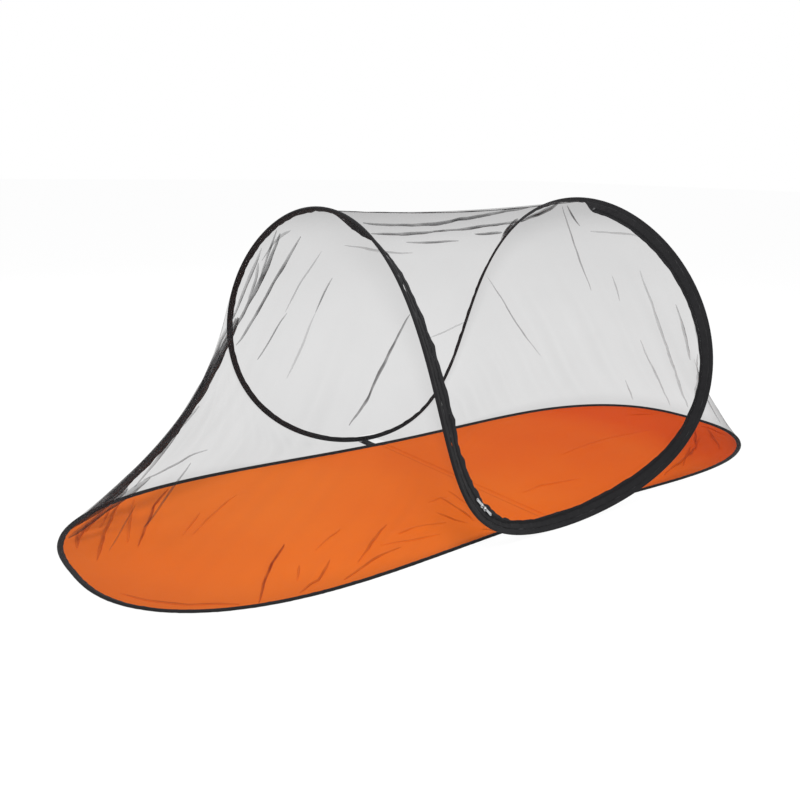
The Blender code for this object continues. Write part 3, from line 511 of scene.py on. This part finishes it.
# Groundsheet's edge tape
# Black binding tape is folded over the flat ring's wire and sewn to the sheet. It pulls into
# small puckers between the stitches.
def folded_section(tail, edge_in, edge_out, thin):
    """Return a folded tape's section: round over the wire, thin and wavy at its sewn edge."""
    outline = [(-nose, 0), (-0.71 * nose, 0.71 * nose), (0, nose), (0.75 * nose, 0.66 * nose),
               (1.7 * nose, 1.5 * thin), (tail, thin), (tail + 0.0003, 0), (tail, -thin),
               (1.7 * nose, -1.5 * thin), (0.75 * nose, -0.66 * nose), (0, -nose),
               (-0.71 * nose, -0.71 * nose)]
    section = np.repeat(np.array(outline)[None], len(edge_in), 0)
    pull = np.clip(section[..., 0] / tail, 0, 1)
    section[..., 0] += edge_in[:, None] * pull
    section[..., 1] += edge_out[:, None] * pull ** 2
    return section


tape, dye, feed = make_finish("black grosgrain binding", Sheen_Weight=0.03, Sheen_Roughness=0.5,
                              Specular_IOR_Level=0.08)
seam_place, thread_half, stitches_per_metre, stitch_share = 0.0165, 0.0006, 250.0, 0.68
metres = dye.node("UVMap", {"uv_map": "metres"}, {})
ribs = dye.node("TexWave", {"bands_direction": "X"},
                {"Vector": metres, "Scale": 210.0, "Distortion": 1.2})
lint = dye.node("TexNoise", {}, {"Vector": metres, "Scale": 90.0, "Detail": 4.0})
worn = dye.mottle(Scale=14.0)
split = dye.node("SeparateXYZ", {}, {"Vector": metres})
stitch_step = split.math("FRACT", split * stitches_per_metre)
seam = dye.node("Math", {"operation": "COMPARE"},
                {0: split.output(1), 1: seam_place, 2: thread_half})
stitches = seam * (1 - stitch_step.math("GREATER_THAN", stitch_step, stitch_share))
colour = dye.mix(lint * 0.6 + worn * 0.4, (0.009, 0.009, 0.010, 1), (0.024, 0.024, 0.026, 1))
feed("Base Color", dye.mix(stitches, colour, (0.075, 0.075, 0.08, 1)))
feed("Roughness", 0.85 - ribs * 0.15)
feed("Normal", bump(dye, ribs * 0.4 + lint * 0.3 + stitches, 0.0003, 0.7))

floor_tail, floor_tape_thin, tape_drop = 0.0095, 0.0008, nose - 0.0013
lap_taller, lap_wider = 1.06, 1.03


def floor_section(edge_in):
    """Return the edge tape's section, whose sewn edge lies lower than its wire."""
    section = folded_section(floor_tail, edge_in, 0 * edge_in, floor_tape_thin)
    section[..., 1] += np.clip(section[..., 0] / floor_tail, 0, 1) * tape_drop
    return section


for half, side in (("head", -1), ("foot", 1)):
    frames = floor_ring[half]
    run = run_of(frames[0])
    section = floor_section(pucker(run, 3 + side, 0.0009, 0.031))
    section[:, 1:10, 1] += pucker(run, 5 + side, 0.00025, 0.023)[:, None]
    section[..., 1] = np.minimum(section[..., 1], nose - 0.0001)
    rows = place_section(frames, section)
    piece = skin("edge_tape_" + half, [rows], tape, tube=True)
    bend(piece, "arch_" + half, "floor_" + half, past_fold(rows[..., 0]))
    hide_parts("floor_binding_" + half)

for name, side in (("far", 1), ("near", -1)):
    x = np.linspace(fold_x - strip_half, fold_x + strip_half, 17)
    dense = np.linspace(before_side, after_side, fine_steps)
    frames = floor_frames(np.interp(-x, -floor_wire(dense)[:, 0], dense))
    section = floor_section(0 * x)
    section[..., 1] = np.minimum(section[..., 1] * lap_taller, nose)
    section[..., 0] *= lap_wider
    rows = place_section(frames, section)[:, ::side]
    rows[..., 1] *= side
    piece = skin("edge_tape_lap_" + name, [rows], tape, tube=True)
    bend(piece, "arch_head", "arch_foot", bend_at_fold(rows[..., 0], strip_half))


# Arch sleeve
# The same black tape, folded round the saddle ring's wire. Its sewn edge points into the
# tent's middle, where the netting and the zip are stitched to it.
sleeve_tail, sleeve_thin = 0.0125, 0.0009
frames = arch_frames(arch_turns)
run = run_of(frames[0])
section = folded_section(sleeve_tail, pucker(run, 1.3, 0.0012, 0.034),
                         pucker(run, 4.1, 0.0014, 0.043), sleeve_thin)
rows = place_section(frames, section)
rows[..., 2] = np.maximum(rows[..., 2], 0.0001)
sleeve = skin("arch_sleeve", [rows], tape, tube=True)
bend(sleeve, "arch_head", "arch_foot", bend_at_fold(rows[..., 0]))
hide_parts("arch_sleeve_head", "arch_sleeve_foot")


# Zip
# A black nylon coil zip runs from beside the head arch's top, down its near leg and up the
# foot arch's. One tape is sewn to the sleeve and the other is the hem of the door's net.
zip_half, tape_gap, zip_tape_thickness, half_gap = 0.0033, 0.0008, 0.0007, 0.0004
tape_width, wider_at_foot = 0.008, 0.005
near_foot, station_count, top_station = 1.5 * math.pi, 37, 18
arc_low, arc_high = near_foot - 0.15 * math.pi / 2, near_foot - 0.5 * math.pi / 2
run_joint = next(joint for joint in frame["joints"] if joint["name"] == "slider_upper_run")
arc_centre, arc_axis = np.array(run_joint["pos_m"]), unit(np.array(run_joint["axis"], float))


def zip_guide(turns):
    """Return the zip's middle, offset from the arch wire, with the arch's directions."""
    centre, inward, outward = arch_frames(turns)
    past_foot = eased((turns - near_foot) / (math.pi / 6) + 0.5, 0, 1)
    width = tape_width + wider_at_foot * past_foot
    return centre + inward * (sleeve_tail + tape_gap + width + zip_half)[:, None], inward, outward


def from_axis(points):
    """Return how points lie from the arc's axis, square to it."""
    spokes = points - arc_centre
    return spokes - (spokes @ arc_axis)[..., None] * arc_axis


def zip_frames(turns):
    """Return the zip's middle, the way across to the door and the way out of the net."""
    turns = np.asarray(turns, float)
    guide, inward, outward = zip_guide(turns)
    along = unit(zip_guide(turns + small_turn)[0] - zip_guide(turns - small_turn)[0])
    across = unit(inward - (inward * along).sum(-1, keepdims=True) * along)
    low, mid_in, _ = zip_guide(np.array([arc_low, (arc_low + arc_high) / 2]))
    radial = unit(from_axis(guide))
    tilt = math.atan2(mid_in[1] @ arc_axis, mid_in[1] @ unit(from_axis(low[1])))
    radius = np.linalg.norm(from_axis(low[0]))
    on_arc = eased(turns, arc_high - 0.08, arc_high - 0.01)[:, None]
    on_arc = on_arc * (1 - eased(turns, arc_low, arc_low + 0.06))[:, None]
    middle = guide * (1 - on_arc) + (arc_centre + radial * radius) * on_arc
    tilted = radial * math.cos(tilt) + arc_axis * math.sin(tilt)
    across = unit(across * (1 - on_arc) + tilted * on_arc)
    along = unit(np.gradient(middle, axis=0))
    return middle, across, unit(np.cross(along, across))


def ring_stations(x, start, end, mirror):
    """Return the turns that the arch's solids are drawn at."""
    first = first_turn(arch_wire, x, start, end)
    return even_turns(arch_wire, first, mirror - first, station_count)


def bell(values, middle, width):
    """Return a smooth bump of height 1 over values."""
    return np.exp(-((values - middle) / width) ** 2)


head_stations = ring_stations(fold_x - half_gap, math.pi / 2, after_side, 2 * math.pi)
foot_stations = ring_stations(fold_x + half_gap, math.pi / 2, before_side, 0)
zip_start, zip_end = [stations[top_station + 1] for stations in (head_stations, foot_stations)]
zip_end += 2 * math.pi
tape_start = head_stations[top_station] * 0.9 + zip_start * 0.1
tape_end = (foot_stations[top_station] + 2 * math.pi) * 0.9 + zip_end * 0.1
zip_turns = even_turns(lambda turns: zip_frames(turns)[0], tape_start, tape_end, 400)
middle, across, outward = zip_frames(zip_turns)
if (outward @ np.array([0, -1.0, 0])).mean() < 0:
    outward = -outward
centre, inward, _ = arch_frames(zip_turns)
run = run_of(middle)
zip_first, zip_last = np.interp([zip_start, zip_end], zip_turns, run)
full = (eased(run, 0, zip_first) * (1 - eased(run, zip_last, run[-1])))[:, None]
beside_coil = (eased(run, zip_first - 0.003, zip_first)
               * (1 - eased(run, zip_last, zip_last + 0.003)))
slit = (0.0015 * beside_coil - 0.0005)[:, None]
sewn = (centre + inward * (sleeve_tail - 0.002)
        + outward * (0.0016 + pucker(run, 2.2, 0.0003, 0.021))[:, None])
strip = []
for share in np.linspace(0, 1, 7):
    billow = 0.0011 * math.sin(math.pi * share) * pucker(run, 1.1, 1.0, 0.027)
    strip.append(sewn * (1 - share * full) + (middle - across * slit) * share * full
                 + outward * billow[:, None] * full)
rows = np.stack(strip, 1)
arch_tape = skin("zip_tape_on_arch", [rows], tape)
thicken(arch_tape, zip_tape_thickness)
bend(arch_tape, "arch_head", "arch_foot", bend_at_fold(rows[..., 0]))
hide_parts("zip_tape_head", "zip_tape_foot")

hem_width, least_width = 0.0125, 0.0038
share = run / run[-1]
foot_side = eased(share, 0.42, 0.50)
narrow = (0.0035 * foot_side + 0.004 * bell(share, 0.72, 0.10) + 0.005 * bell(share, 0.49, 0.05)
          + 0.0085 * bell(share, 0.42, 0.033))
ruffle = pucker(run, 6.5, 0.0034, 0.085) + pucker(run, 2.5, 0.0008, 0.033)
hem_wide = np.maximum(hem_width - narrow + ruffle * (1 - 0.75 * foot_side), least_width)[:, None]
wavy = pucker(run, 3.7, 0.0012, 0.061) - 0.012 * bell(share, 0.048, 0.026)
door_strip = [sewn * (1 - full) + full * (middle + across * (slit + hem_wide * share)
                                          + outward * (share * wavy)[:, None])
              for share in np.linspace(0, 1, 8)]
rows = np.stack(door_strip, 1)
door_hem = rows[:, -1]
door_tape = skin("zip_tape_on_door", [rows], tape)
thicken(door_tape, zip_tape_thickness)
bend(door_tape, "door_head", "door_foot", bend_at_fold(rows[..., 0]))
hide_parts("door_tape_head", "door_tape_foot")

nylon, dye, feed = make_finish("black nylon coil", Specular_IOR_Level=0.10)
speck = dye.mottle(Scale=1400.0)
feed("Base Color", dye.mix(speck, (0.008, 0.008, 0.009, 1), (0.020, 0.020, 0.022, 1)))
feed("Roughness", speck * 0.2 + 0.6)

tooth_pitch, coil_start = 0.0026, 0.001
tooth_shape = [(-0.0006, 0.00045, 0.0007), (0.0004, 0.0007, 0.0011), (0.0013, 0.0005, 0.0010),
               (0.0031, 0.0005, 0.0008)]


def points_at(places, run, points):
    """Return points at places along a row of points."""
    return np.stack([np.interp(places, run, points[:, axis]) for axis in range(3)], -1)


def make_teeth(name, side, start, first_body, second_body, nodes):
    """Make a row of coil teeth on one side of the zip's middle."""
    places = np.arange(zip_first + start, zip_last, tooth_pitch)
    at = [points_at(places, run, part) for part in (middle, across, outward)]
    along = unit(np.cross(at[1], at[2]))
    points, faces = [], []
    for step, wide, high in tooth_shape:
        for flank, face in ((-1, -1), (1, -1), (1, 1), (-1, 1)):
            points.append(at[0] + at[1] * step * side + along * wide * flank + at[2] * high * face)
    points = np.stack(points, 1)
    last = 4 * len(tooth_shape) - 4
    for ring in range(0, last, 4):
        for corner in range(4):
            beside = (corner + 1) % 4
            faces.append((ring + corner, ring + beside, ring + 4 + beside, ring + 4 + corner))
    faces += [(3, 2, 1, 0), (last, last + 1, last + 2, last + 3)]
    if side < 0:
        faces = [face[::-1] for face in faces]
    faces = np.array(faces) + np.arange(len(places))[:, None, None] * points.shape[1]
    mesh = bpy.data.meshes.new(name)
    mesh.from_pydata(points.reshape(-1, 3).tolist(), [], faces.reshape(-1, 4).tolist())
    mesh.materials.append(nylon)
    piece = bpy.data.objects.new(name, mesh)
    link(piece)
    bend(piece, first_body, second_body, bend_at_fold(points[..., 0]))
    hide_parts(*nodes)
    return piece


make_teeth("zip_coil_on_arch", -1, coil_start, "arch_head", "arch_foot",
           ("zip_teeth_head", "zip_teeth_foot"))
door_coil = make_teeth("zip_coil_on_door", 1, coil_start + tooth_pitch / 2,
                       "door_head", "door_foot", ("door_teeth_head", "door_teeth_foot"))

for name, dull, bright, nodes in (
        ("bright-plated zinc", (0.40, 0.41, 0.42, 1), (0.62, 0.63, 0.64, 1),
         ("zip_slider_upper", "zip_slider_lower", "zip_pull_upper", "zip_pull_lower")),
        ("dulled zinc", (0.07, 0.07, 0.072, 1), (0.14, 0.14, 0.145, 1),
         ("zip_stop_head", "zip_stop_foot"))):
    zinc, dye, feed = make_finish(name, Metallic=1.0)
    rub = dye.mottle(Scale=420.0, Detail=5.0)
    feed("Base Color", dye.mix(rub, dull, bright))
    feed("Roughness", rub * 0.22 + 0.22)
    feed("Normal", bump(dye, rub, 0.00006, 0.5))
    for node in nodes:
        frame["nodes"][node].data.materials[0] = zinc
        edges = frame["nodes"][node].modifiers.new("eased edges", "BEVEL")
        edges.width, edges.segments, edges.limit_method = 0.00016, 2, "ANGLE"


# Netting
# Fine dark knitted net, seen through from every side. Each panel is cut a little full and
# gathered into its seam, so that it hangs in folds and looks darker where it is bunched.
net, dye, feed = make_finish("fine dark netting", Specular_IOR_Level=0.05)
knitted = {"Vector": dye.node("UVMap", {"uv_map": "metres"}, {}), "Scale": 195.0}
wales = dye.node("TexWave", {"bands_direction": "X"}, knitted)
courses = dye.node("TexWave", {"bands_direction": "Y"}, knitted)
haze = dye.mottle(Scale=5.0, Detail=3.0)
bunch = dye.node("Attribute", {"attribute_name": "bunched"}, {}, 2)
threads = (wales + courses) * 0.5
plain_alpha, most_alpha = 0.115, 0.96
veil = threads * 0.06 + haze * 0.05 + plain_alpha
feed("Alpha", (veil + bunch * (1 - veil)).clamp(0.0, most_alpha))
feed("Base Color", dye.mix(threads, (0.022, 0.022, 0.024, 1), (0.05, 0.05, 0.054, 1)))
feed("Roughness", 0.9 - threads * 0.1)


def on_net(rows, s, t):
    """Return points of a net's surface at shares along and across it."""
    x = np.clip(s, 0, 1) * (rows.shape[0] - 1)
    y = np.clip(t, 0, 1) * (rows.shape[1] - 1)
    i = np.minimum(x.astype(int), rows.shape[0] - 2)
    j = np.minimum(y.astype(int), rows.shape[1] - 2)
    u, v = (x - i)[..., None], (y - j)[..., None]
    return ((rows[i, j] * (1 - u) + rows[i + 1, j] * u) * (1 - v)
            + (rows[i, j + 1] * (1 - u) + rows[i + 1, j + 1] * u) * v)


def make_net(name, rows, shade, bodies, bends, folds, node):
    """Make a net and the folds that lie on it."""
    patches, shades, shares = [rows], [shade], [bends]
    for number, (route, wide, dark, *lift) in enumerate(folds):
        route = np.array(route) / 1000
        leg = run_of(on_net(rows, route[:, 0], route[:, 1]))
        step = np.linspace(0, leg[-1], max(int(leg[-1] / 0.008), 12))
        s, t = np.interp(step, leg, route[:, 0]), np.interp(step, leg, route[:, 1])
        for _ in range(len(s) // 2):
            s[1:-1], t[1:-1] = (s[:-2] + s[1:-1] + s[2:]) / 3, (t[:-2] + t[1:-1] + t[2:]) / 3
        normal = unit(np.cross(on_net(rows, s + 0.01, t) - on_net(rows, s - 0.01, t),
                               on_net(rows, s, t + 0.01) - on_net(rows, s, t - 0.01)))
        patch, dark_shade = make_fold(on_net(rows, s, t), normal, wide, dark, number, *lift)
        patches.append(patch)
        shades.append(dark_shade)
        shares.append(on_net(bends[..., None], s, t) + np.zeros(patch.shape[1]))
    piece = skin(name, patches, net)
    paint(piece, "bunched", shades)
    bend(piece, *bodies, np.concatenate([share.ravel() for share in shares]))
    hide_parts(node)
    return piece


end_columns, end_steps, side_steps, side_columns = 521, 49, 130, 141
roof_sag, over_wire = 0.016, 0.0030


def end_rows(first, last, floor_first, floor_last, sag, gathers, depth, seed):
    """Return an end net's rows, from its arch down to the groundsheet's edge."""
    arch = arch_wire(even_turns(arch_wire, first, last, end_columns))
    edge = floor_wire(even_turns(floor_wire, floor_first, floor_last, end_columns))
    edge = edge + np.array([0, 0, nose - 0.0004])
    top = arch + unit(edge - arch) * over_wire
    s = np.linspace(0, 1, end_columns)[:, None]
    t = np.linspace(0, 1, end_steps)[None]
    rows = top[:, None] * (1 - t[..., None]) + edge[:, None] * t[..., None]
    to_middle = unit(np.array([fold_x, 0, 0]) - edge)[:, None]
    belly = sag * np.sin(math.pi * t ** 1.5) * np.sin(math.pi * s) ** 0.6
    folds = np.zeros((end_columns, end_steps))
    for times, weight in ((1.0, 0.55), (1.37, 0.3), (2.13, 0.25), (3.4, 0.12)):
        wander = s + 0.004 * np.sin(9 * t)
        folds += weight * np.sin(2 * math.pi * gathers * times * wander + seed * times)
    hem = np.sin(math.pi * t ** 1.6) * (1 - 0.35 * t)
    rows = rows + to_middle * (belly + depth * folds * hem * np.sin(math.pi * s) ** 0.5)[..., None]
    return rows, np.abs(folds) * hem * (0.25 + 0.75 * t)


folds_in = {  # route in thousandths along and across, half width, darkness and lift
    "head": [
        ([(437, 330), (413, 500), (403, 660), (402, 800), (420, 980)], 0.0125, 0.97, 1.6),
        ([(443, 360), (420, 500), (413, 660), (412, 800), (430, 930)], 0.0105, 0.85, 1.3),
        ([(430, 330), (402, 500), (392, 660), (391, 800), (410, 950)], 0.0100, 0.75, 1.0),
        ([(420, 310), (390, 480), (381, 600), (378, 720)], 0.0090, 0.4, 0.8),
        ([(430, 450), (425, 563), (436, 646), (452, 708), (459, 771), (461, 833)], 0.0080, 0.5),
        ([(450, 840), (435, 900), (420, 970)], 0.0120, 0.6, 1.0),
        ([(470, 800), (455, 880), (445, 980)], 0.0100, 0.5, 1.0),
        ([(523, 688), (509, 708), (494, 750), (477, 792), (464, 812)], 0.0037, 0.45),
        ([(515, 729), (517, 771), (523, 812), (529, 854), (531, 875)], 0.0038, 0.55),
        ([(494, 83), (492, 146), (485, 208), (480, 292), (473, 354), (464, 417)], 0.0064, 0.75),
        ([(449, 62), (457, 146), (458, 208), (455, 271), (446, 333), (435, 396)], 0.0100, 0.8),
        ([(435, 42), (443, 104), (451, 167), (456, 229)], 0.0056, 0.6),
        ([(417, 83), (424, 146), (418, 187), (418, 229), (424, 292), (421, 333)], 0.0090, 0.45),
        ([(430, 146), (438, 188), (447, 229), (447, 271)], 0.0066, 0.45),
        ([(468, 62), (448, 77), (442, 104), (437, 146)], 0.0054, 0.3),
        ([(537, 104), (535, 146), (529, 187), (527, 229), (526, 292)], 0.0030, 0.28),
        ([(529, 292), (523, 333), (521, 396), (518, 438)], 0.0030, 0.6),
        ([(568, 146), (567, 188), (568, 208), (569, 250)], 0.0024, 0.55),
        ([(569, 250), (570, 313), (571, 375), (571, 438)], 0.0033, 0.14),
        ([(458, 604), (442, 688), (432, 771), (436, 833)], 0.0090, 0.4),
        ([(519, 938), (507, 896), (492, 854)], 0.0027, 0.25),
    ],
    "foot": [
        ([(465, 21), (460, 104), (456, 188), (454, 271), (452, 375)], 0.0031, 0.4),
        ([(473, 21), (473, 62), (474, 83), (478, 104)], 0.0037, 0.75),
        ([(490, 125), (513, 125), (544, 104), (570, 85)], 0.0042, 0.16),
        ([(547, 250), (547, 442), (537, 668), (509, 938)], 0.0066, 0.2),
        ([(602, 312), (602, 396), (599, 486), (588, 594)], 0.0078, 0.28),
        ([(651, 163), (654, 229), (656, 297), (660, 364)], 0.0069, 0.28),
        ([(496, 304), (496, 354), (492, 417)], 0.0030, 0.2),
        ([(431, 833), (425, 903), (421, 959)], 0.0031, 0.22),
        ([(498, 593), (495, 708), (490, 813), (476, 956)], 0.0044, 0.2),
        ([(650, 445), (607, 613), (568, 750), (537, 867)], 0.0050, 0.25),
        ([(612, 550), (600, 720), (595, 870), (580, 970)], 0.0045, 0.3),
        ([(600, 620), (575, 800), (560, 970)], 0.0045, 0.3),
        ([(299, 20), (304, 154), (309, 312), (317, 483), (326, 629)], 0.0024, 0.35),
        ([(393, 2), (404, 12), (414, 20), (424, 22), (436, 21), (448, 18), (463, 6)], 0.0046, 0.85),
        ([(398, 2), (410, 10), (424, 14), (440, 14), (456, 8)], 0.0036, 0.45),
    ],
    "wall": [
        ([(474, 700), (417, 664), (364, 630), (302, 586), (232, 527), (162, 435), (120, 340)],
         0.0058, 0.75),
        ([(930, 930), (960, 965), (985, 940), (995, 925)], 0.0110, 0.8, 0.2),
        ([(700, 998), (730, 990), (744, 982), (771, 974), (800, 968)], 0.0125, 0.92),
        ([(710, 998), (740, 990), (765, 985)], 0.0080, 0.7, 1.0),
        ([(721, 300), (705, 377), (689, 458), (674, 555), (674, 600)], 0.0042, 0.22),
    ],
    "door": [
        ([(944, 62), (936, 146), (933, 253), (943, 368), (958, 491), (975, 632),
          (992, 762)], 0.0068, 0.8),
        ([(888, 40), (879, 122), (881, 181), (885, 243), (891, 310)], 0.0070, 0.75),
        ([(888, 260), (895, 385), (905, 456), (915, 528), (930, 680)], 0.0078, 0.75),
        ([(829, 100), (827, 162), (825, 217), (826, 285)], 0.0045, 0.6),
        ([(861, 385), (858, 418), (856, 453), (861, 496)], 0.0071, 0.75),
        ([(605, 0), (612, 50), (620, 92), (628, 144)], 0.0017, 0.15),
    ],
}
for half, side, sag, gathers, depth in (("head", -1, 0.10, 17, 0.006),
                                        ("foot", 1, 0.05, 14, 0.005)):
    x = fold_x + side * 0.022
    ring_first = first_turn(arch_wire, x, math.pi / 2 - side * 0.3, math.pi / 2)
    floor_first = first_turn(floor_wire, x, math.pi / 2 - side * 0.3, math.pi / 2)
    mirror = 2 * math.pi if side < 0 else 0
    rows, folds = end_rows(ring_first, mirror - ring_first, floor_first, mirror - floor_first,
                           sag, gathers, depth, 1.7 + side)
    down = np.linspace(0, 1, end_steps)
    shade = 0.06 * folds + 0.10 * (1 - eased(down, 0, 0.12)) + 0.10 * eased(down, 0.90, 1)
    if half == "foot":
        corner = bell(np.linspace(0, 1, end_columns)[:, None], 0.61, 0.05)
        shade = shade + 0.22 * corner * eased(down, 0.45, 0.9)
    make_net("net_" + half, rows, shade, ("arch_" + half, "floor_" + half),
                          down + np.zeros((end_columns, 1)), folds_in[half],
                          "net_" + half + "_end")


def side_rows(head_edge, foot_edge, side, wall_sag):
    """Return a net between both arches, from its lowest row up to the ridge."""
    u = np.linspace(0, 1, side_steps)[:, None]
    v = np.linspace(0, 1, side_columns)[None]
    rows = head_edge[:, None] * (1 - v[..., None]) + foot_edge[:, None] * v[..., None]
    bow = np.sin(math.pi * v)
    rows[..., 1] -= side * wall_sag * bow * np.sin(math.pi * u)
    rows[..., 2] -= roof_sag * bow * u ** 6
    ripple = (0.0018 * np.sin(2 * math.pi * (5 * u + 1.3 * v))
              + 0.0015 * np.sin(2 * math.pi * (9 * u - 2.1 * v) + 1))
    rows[..., 1] += side * ripple * bow
    return rows


def side_bends(rows):
    """Return a side net's bend: short at the foot of its tapes and longer higher up."""
    before = np.maximum(fold_x - rows[:, :1, 0], fold_half_run)
    beyond = np.maximum(rows[:, -1:, 0] - fold_x, fold_half_run)
    return eased((rows[..., 0] - fold_x + before) / (before + beyond), 0, 1)


def ridge_end(turn, side):
    """Return the corner of a side net where the ridge meets an arch's top."""
    centre, inward, _ = arch_frames(np.array([turn]))
    corner = (centre + inward * (sleeve_tail - 0.001))[0]
    corner[1] = side * 0.0006
    return corner


edges = []
for stations in (head_stations, foot_stations):
    low, top = stations[1], stations[top_station]
    centre, inward, _ = arch_frames(even_turns(arch_wire, low, top, side_steps))
    edge = centre + inward * (sleeve_tail - 0.0015)
    edge[-1] = ridge_end(top, 1)
    edges.append(edge)
rows = side_rows(*edges, 1, 0.020)
near_ridge = 0.17 * eased(np.linspace(0, 1, side_steps), 0.76, 0.97)[:, None]
near_ridge = near_ridge + np.zeros(side_columns)
make_net("net_far_wall_and_roof", rows, near_ridge, ("arch_head", "arch_foot"),
                        side_bends(rows), folds_in["wall"], "net_wall")
ridge_row, ridge_bends = rows[-1], side_bends(rows)[-1]

half_way, edges = np.argmin(np.abs(zip_turns - near_foot)), []
for hem, top in ((door_hem[:half_way + 1][::-1], math.pi), (door_hem[half_way:], 0.0)):
    run = run_of(hem)
    even = points_at(np.linspace(0, run[-1], side_steps - 1), run, hem)
    edges.append(np.concatenate([even, [ridge_end(top, -1)]]))
rows = side_rows(*edges, -1, 0.016)
make_net("net_door_panel", rows, near_ridge, ("door_head", "door_foot"),
                        side_bends(rows), folds_in["door"], "net_door")


# Ridge tape
# A strip of black tape covers the seam where the door's net is sewn to the roof.
along = np.linspace(0.02, 0.98, 121)
places, columns = along * (side_columns - 1), np.arange(side_columns)
at = points_at(places, columns, ridge_row)
run = run_of(at)
rows = np.stack([at + np.array([0, 0, 0.0016]) + np.stack([
    0 * run, share + 0.0008 * np.sin(run * 30), 0.0006 * np.sin(run * 45 + share * 200)], -1)
    for share in np.linspace(-0.005, 0.005, 6)], 1)
ridge = skin("ridge_tape_strip", [rows], tape)
thicken(ridge, 0.0008)
bends = np.interp(places, columns, ridge_bends)
bend(ridge, "arch_head", "arch_foot", bends[:, None] + 0 * rows[..., 0])
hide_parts("ridge_tape")


# Side tabs
# Short lengths of black webbing sew the arch ring to the groundsheet where they lie side by
# side, so that the two rings fold together.
for node in ("side_tab_far", "side_tab_near"):
    low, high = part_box(node)
    rows = []
    for x in np.linspace(low.x, high.x, 17):
        row = []
        for share in np.linspace(0, 1, 7):
            y = low.y + (high.y - low.y) * share
            wave = 0.0006 * math.sin(x * 300) + 0.0004 * math.sin(share * 9)
            row.append((x, y, (low.z + high.z) / 2 + wave + 0.0004))
        rows.append(row)
    piece = skin(node + "_webbing", [rows], tape)
    thicken(piece, 0.0012)
    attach(piece, "arch_head")
    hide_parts(node)


# Floor and lights
# A plain white floor and sky. They look white to the camera and are greyer to the light that
# falls on the tent, so that the black tape and the net keep their tone.
floor_paint = bpy.data.materials.new("white ground")
floor_paint.use_nodes = True
tree = floor_paint.node_tree
tree.nodes.clear()
ground = Dye(tree)
rays = ground.node("LightPath", {}, {})
mirrored = ground.math("MAXIMUM", rays.output("Is Glossy Ray"), rays.output("Is Transmission Ray"))
seen = ground.math("MAXIMUM", rays, mirrored)
lit = ground.node("BsdfDiffuse", {}, {"Color": (0.12, 0.12, 0.12, 1)})
glow = ground.node("Emission", {}, {"Color": (1, 1, 1, 1), "Strength": 0.92})
both = ground.node("AddShader", {}, {0: lit, 1: glow})
plain = ground.node("BsdfDiffuse", {}, {"Color": (0.62, 0.61, 0.60, 1)})
surface = ground.node("MixShader", {}, {0: seen, 1: plain, 2: both})
end = tree.nodes.new("ShaderNodeOutputMaterial")
tree.links.new(surface.socket, end.inputs["Surface"])
bpy.ops.mesh.primitive_plane_add(size=60, location=(0, 0, -0.0006))
ground_plane = bpy.context.object
ground_plane.name = "white_ground"
ground_plane.data.materials.append(floor_paint)

world = bpy.data.worlds.new("white room")
bpy.context.scene.world = world
world.use_nodes = True
sky = world.node_tree
sky.nodes.clear()
room = Dye(sky)
rays = room.node("LightPath", {}, {})
seen = room.math("MAXIMUM", rays, rays.output("Is Glossy Ray"))
shade = room.mix(seen, (0.50, 0.50, 0.51, 1), (1, 1, 1, 1))
sky.links.new(room.node("Background", {}, {"Color": shade, "Strength": 1.0}).socket,
              sky.nodes.new("ShaderNodeOutputWorld").inputs["Surface"])


def add_light(name, place, target, power, size, colour):
    """Add a soft square light that faces a place."""
    light = bpy.data.lights.new(name, "AREA")
    light.energy, light.size, light.color = power, size, colour
    lamp = bpy.data.objects.new(name, light)
    link(lamp)
    lamp.location = place
    lamp.rotation_euler = (Vector(target) - Vector(place)).to_track_quat("-Z", "Y").to_euler()


add_light("key", (-2.6, -2.4, 3.4), (0, 0, 0.2), 150, 1.4, (1.0, 0.98, 0.95))
add_light("fill", (3.0, -1.4, 2.4), (0, 0, 0.3), 45, 2.5, (0.97, 0.98, 1.0))
add_light("back", (0.4, 3.0, 2.8), (0, 0, 0.2), 40, 2.0, (1.0, 1.0, 1.0))
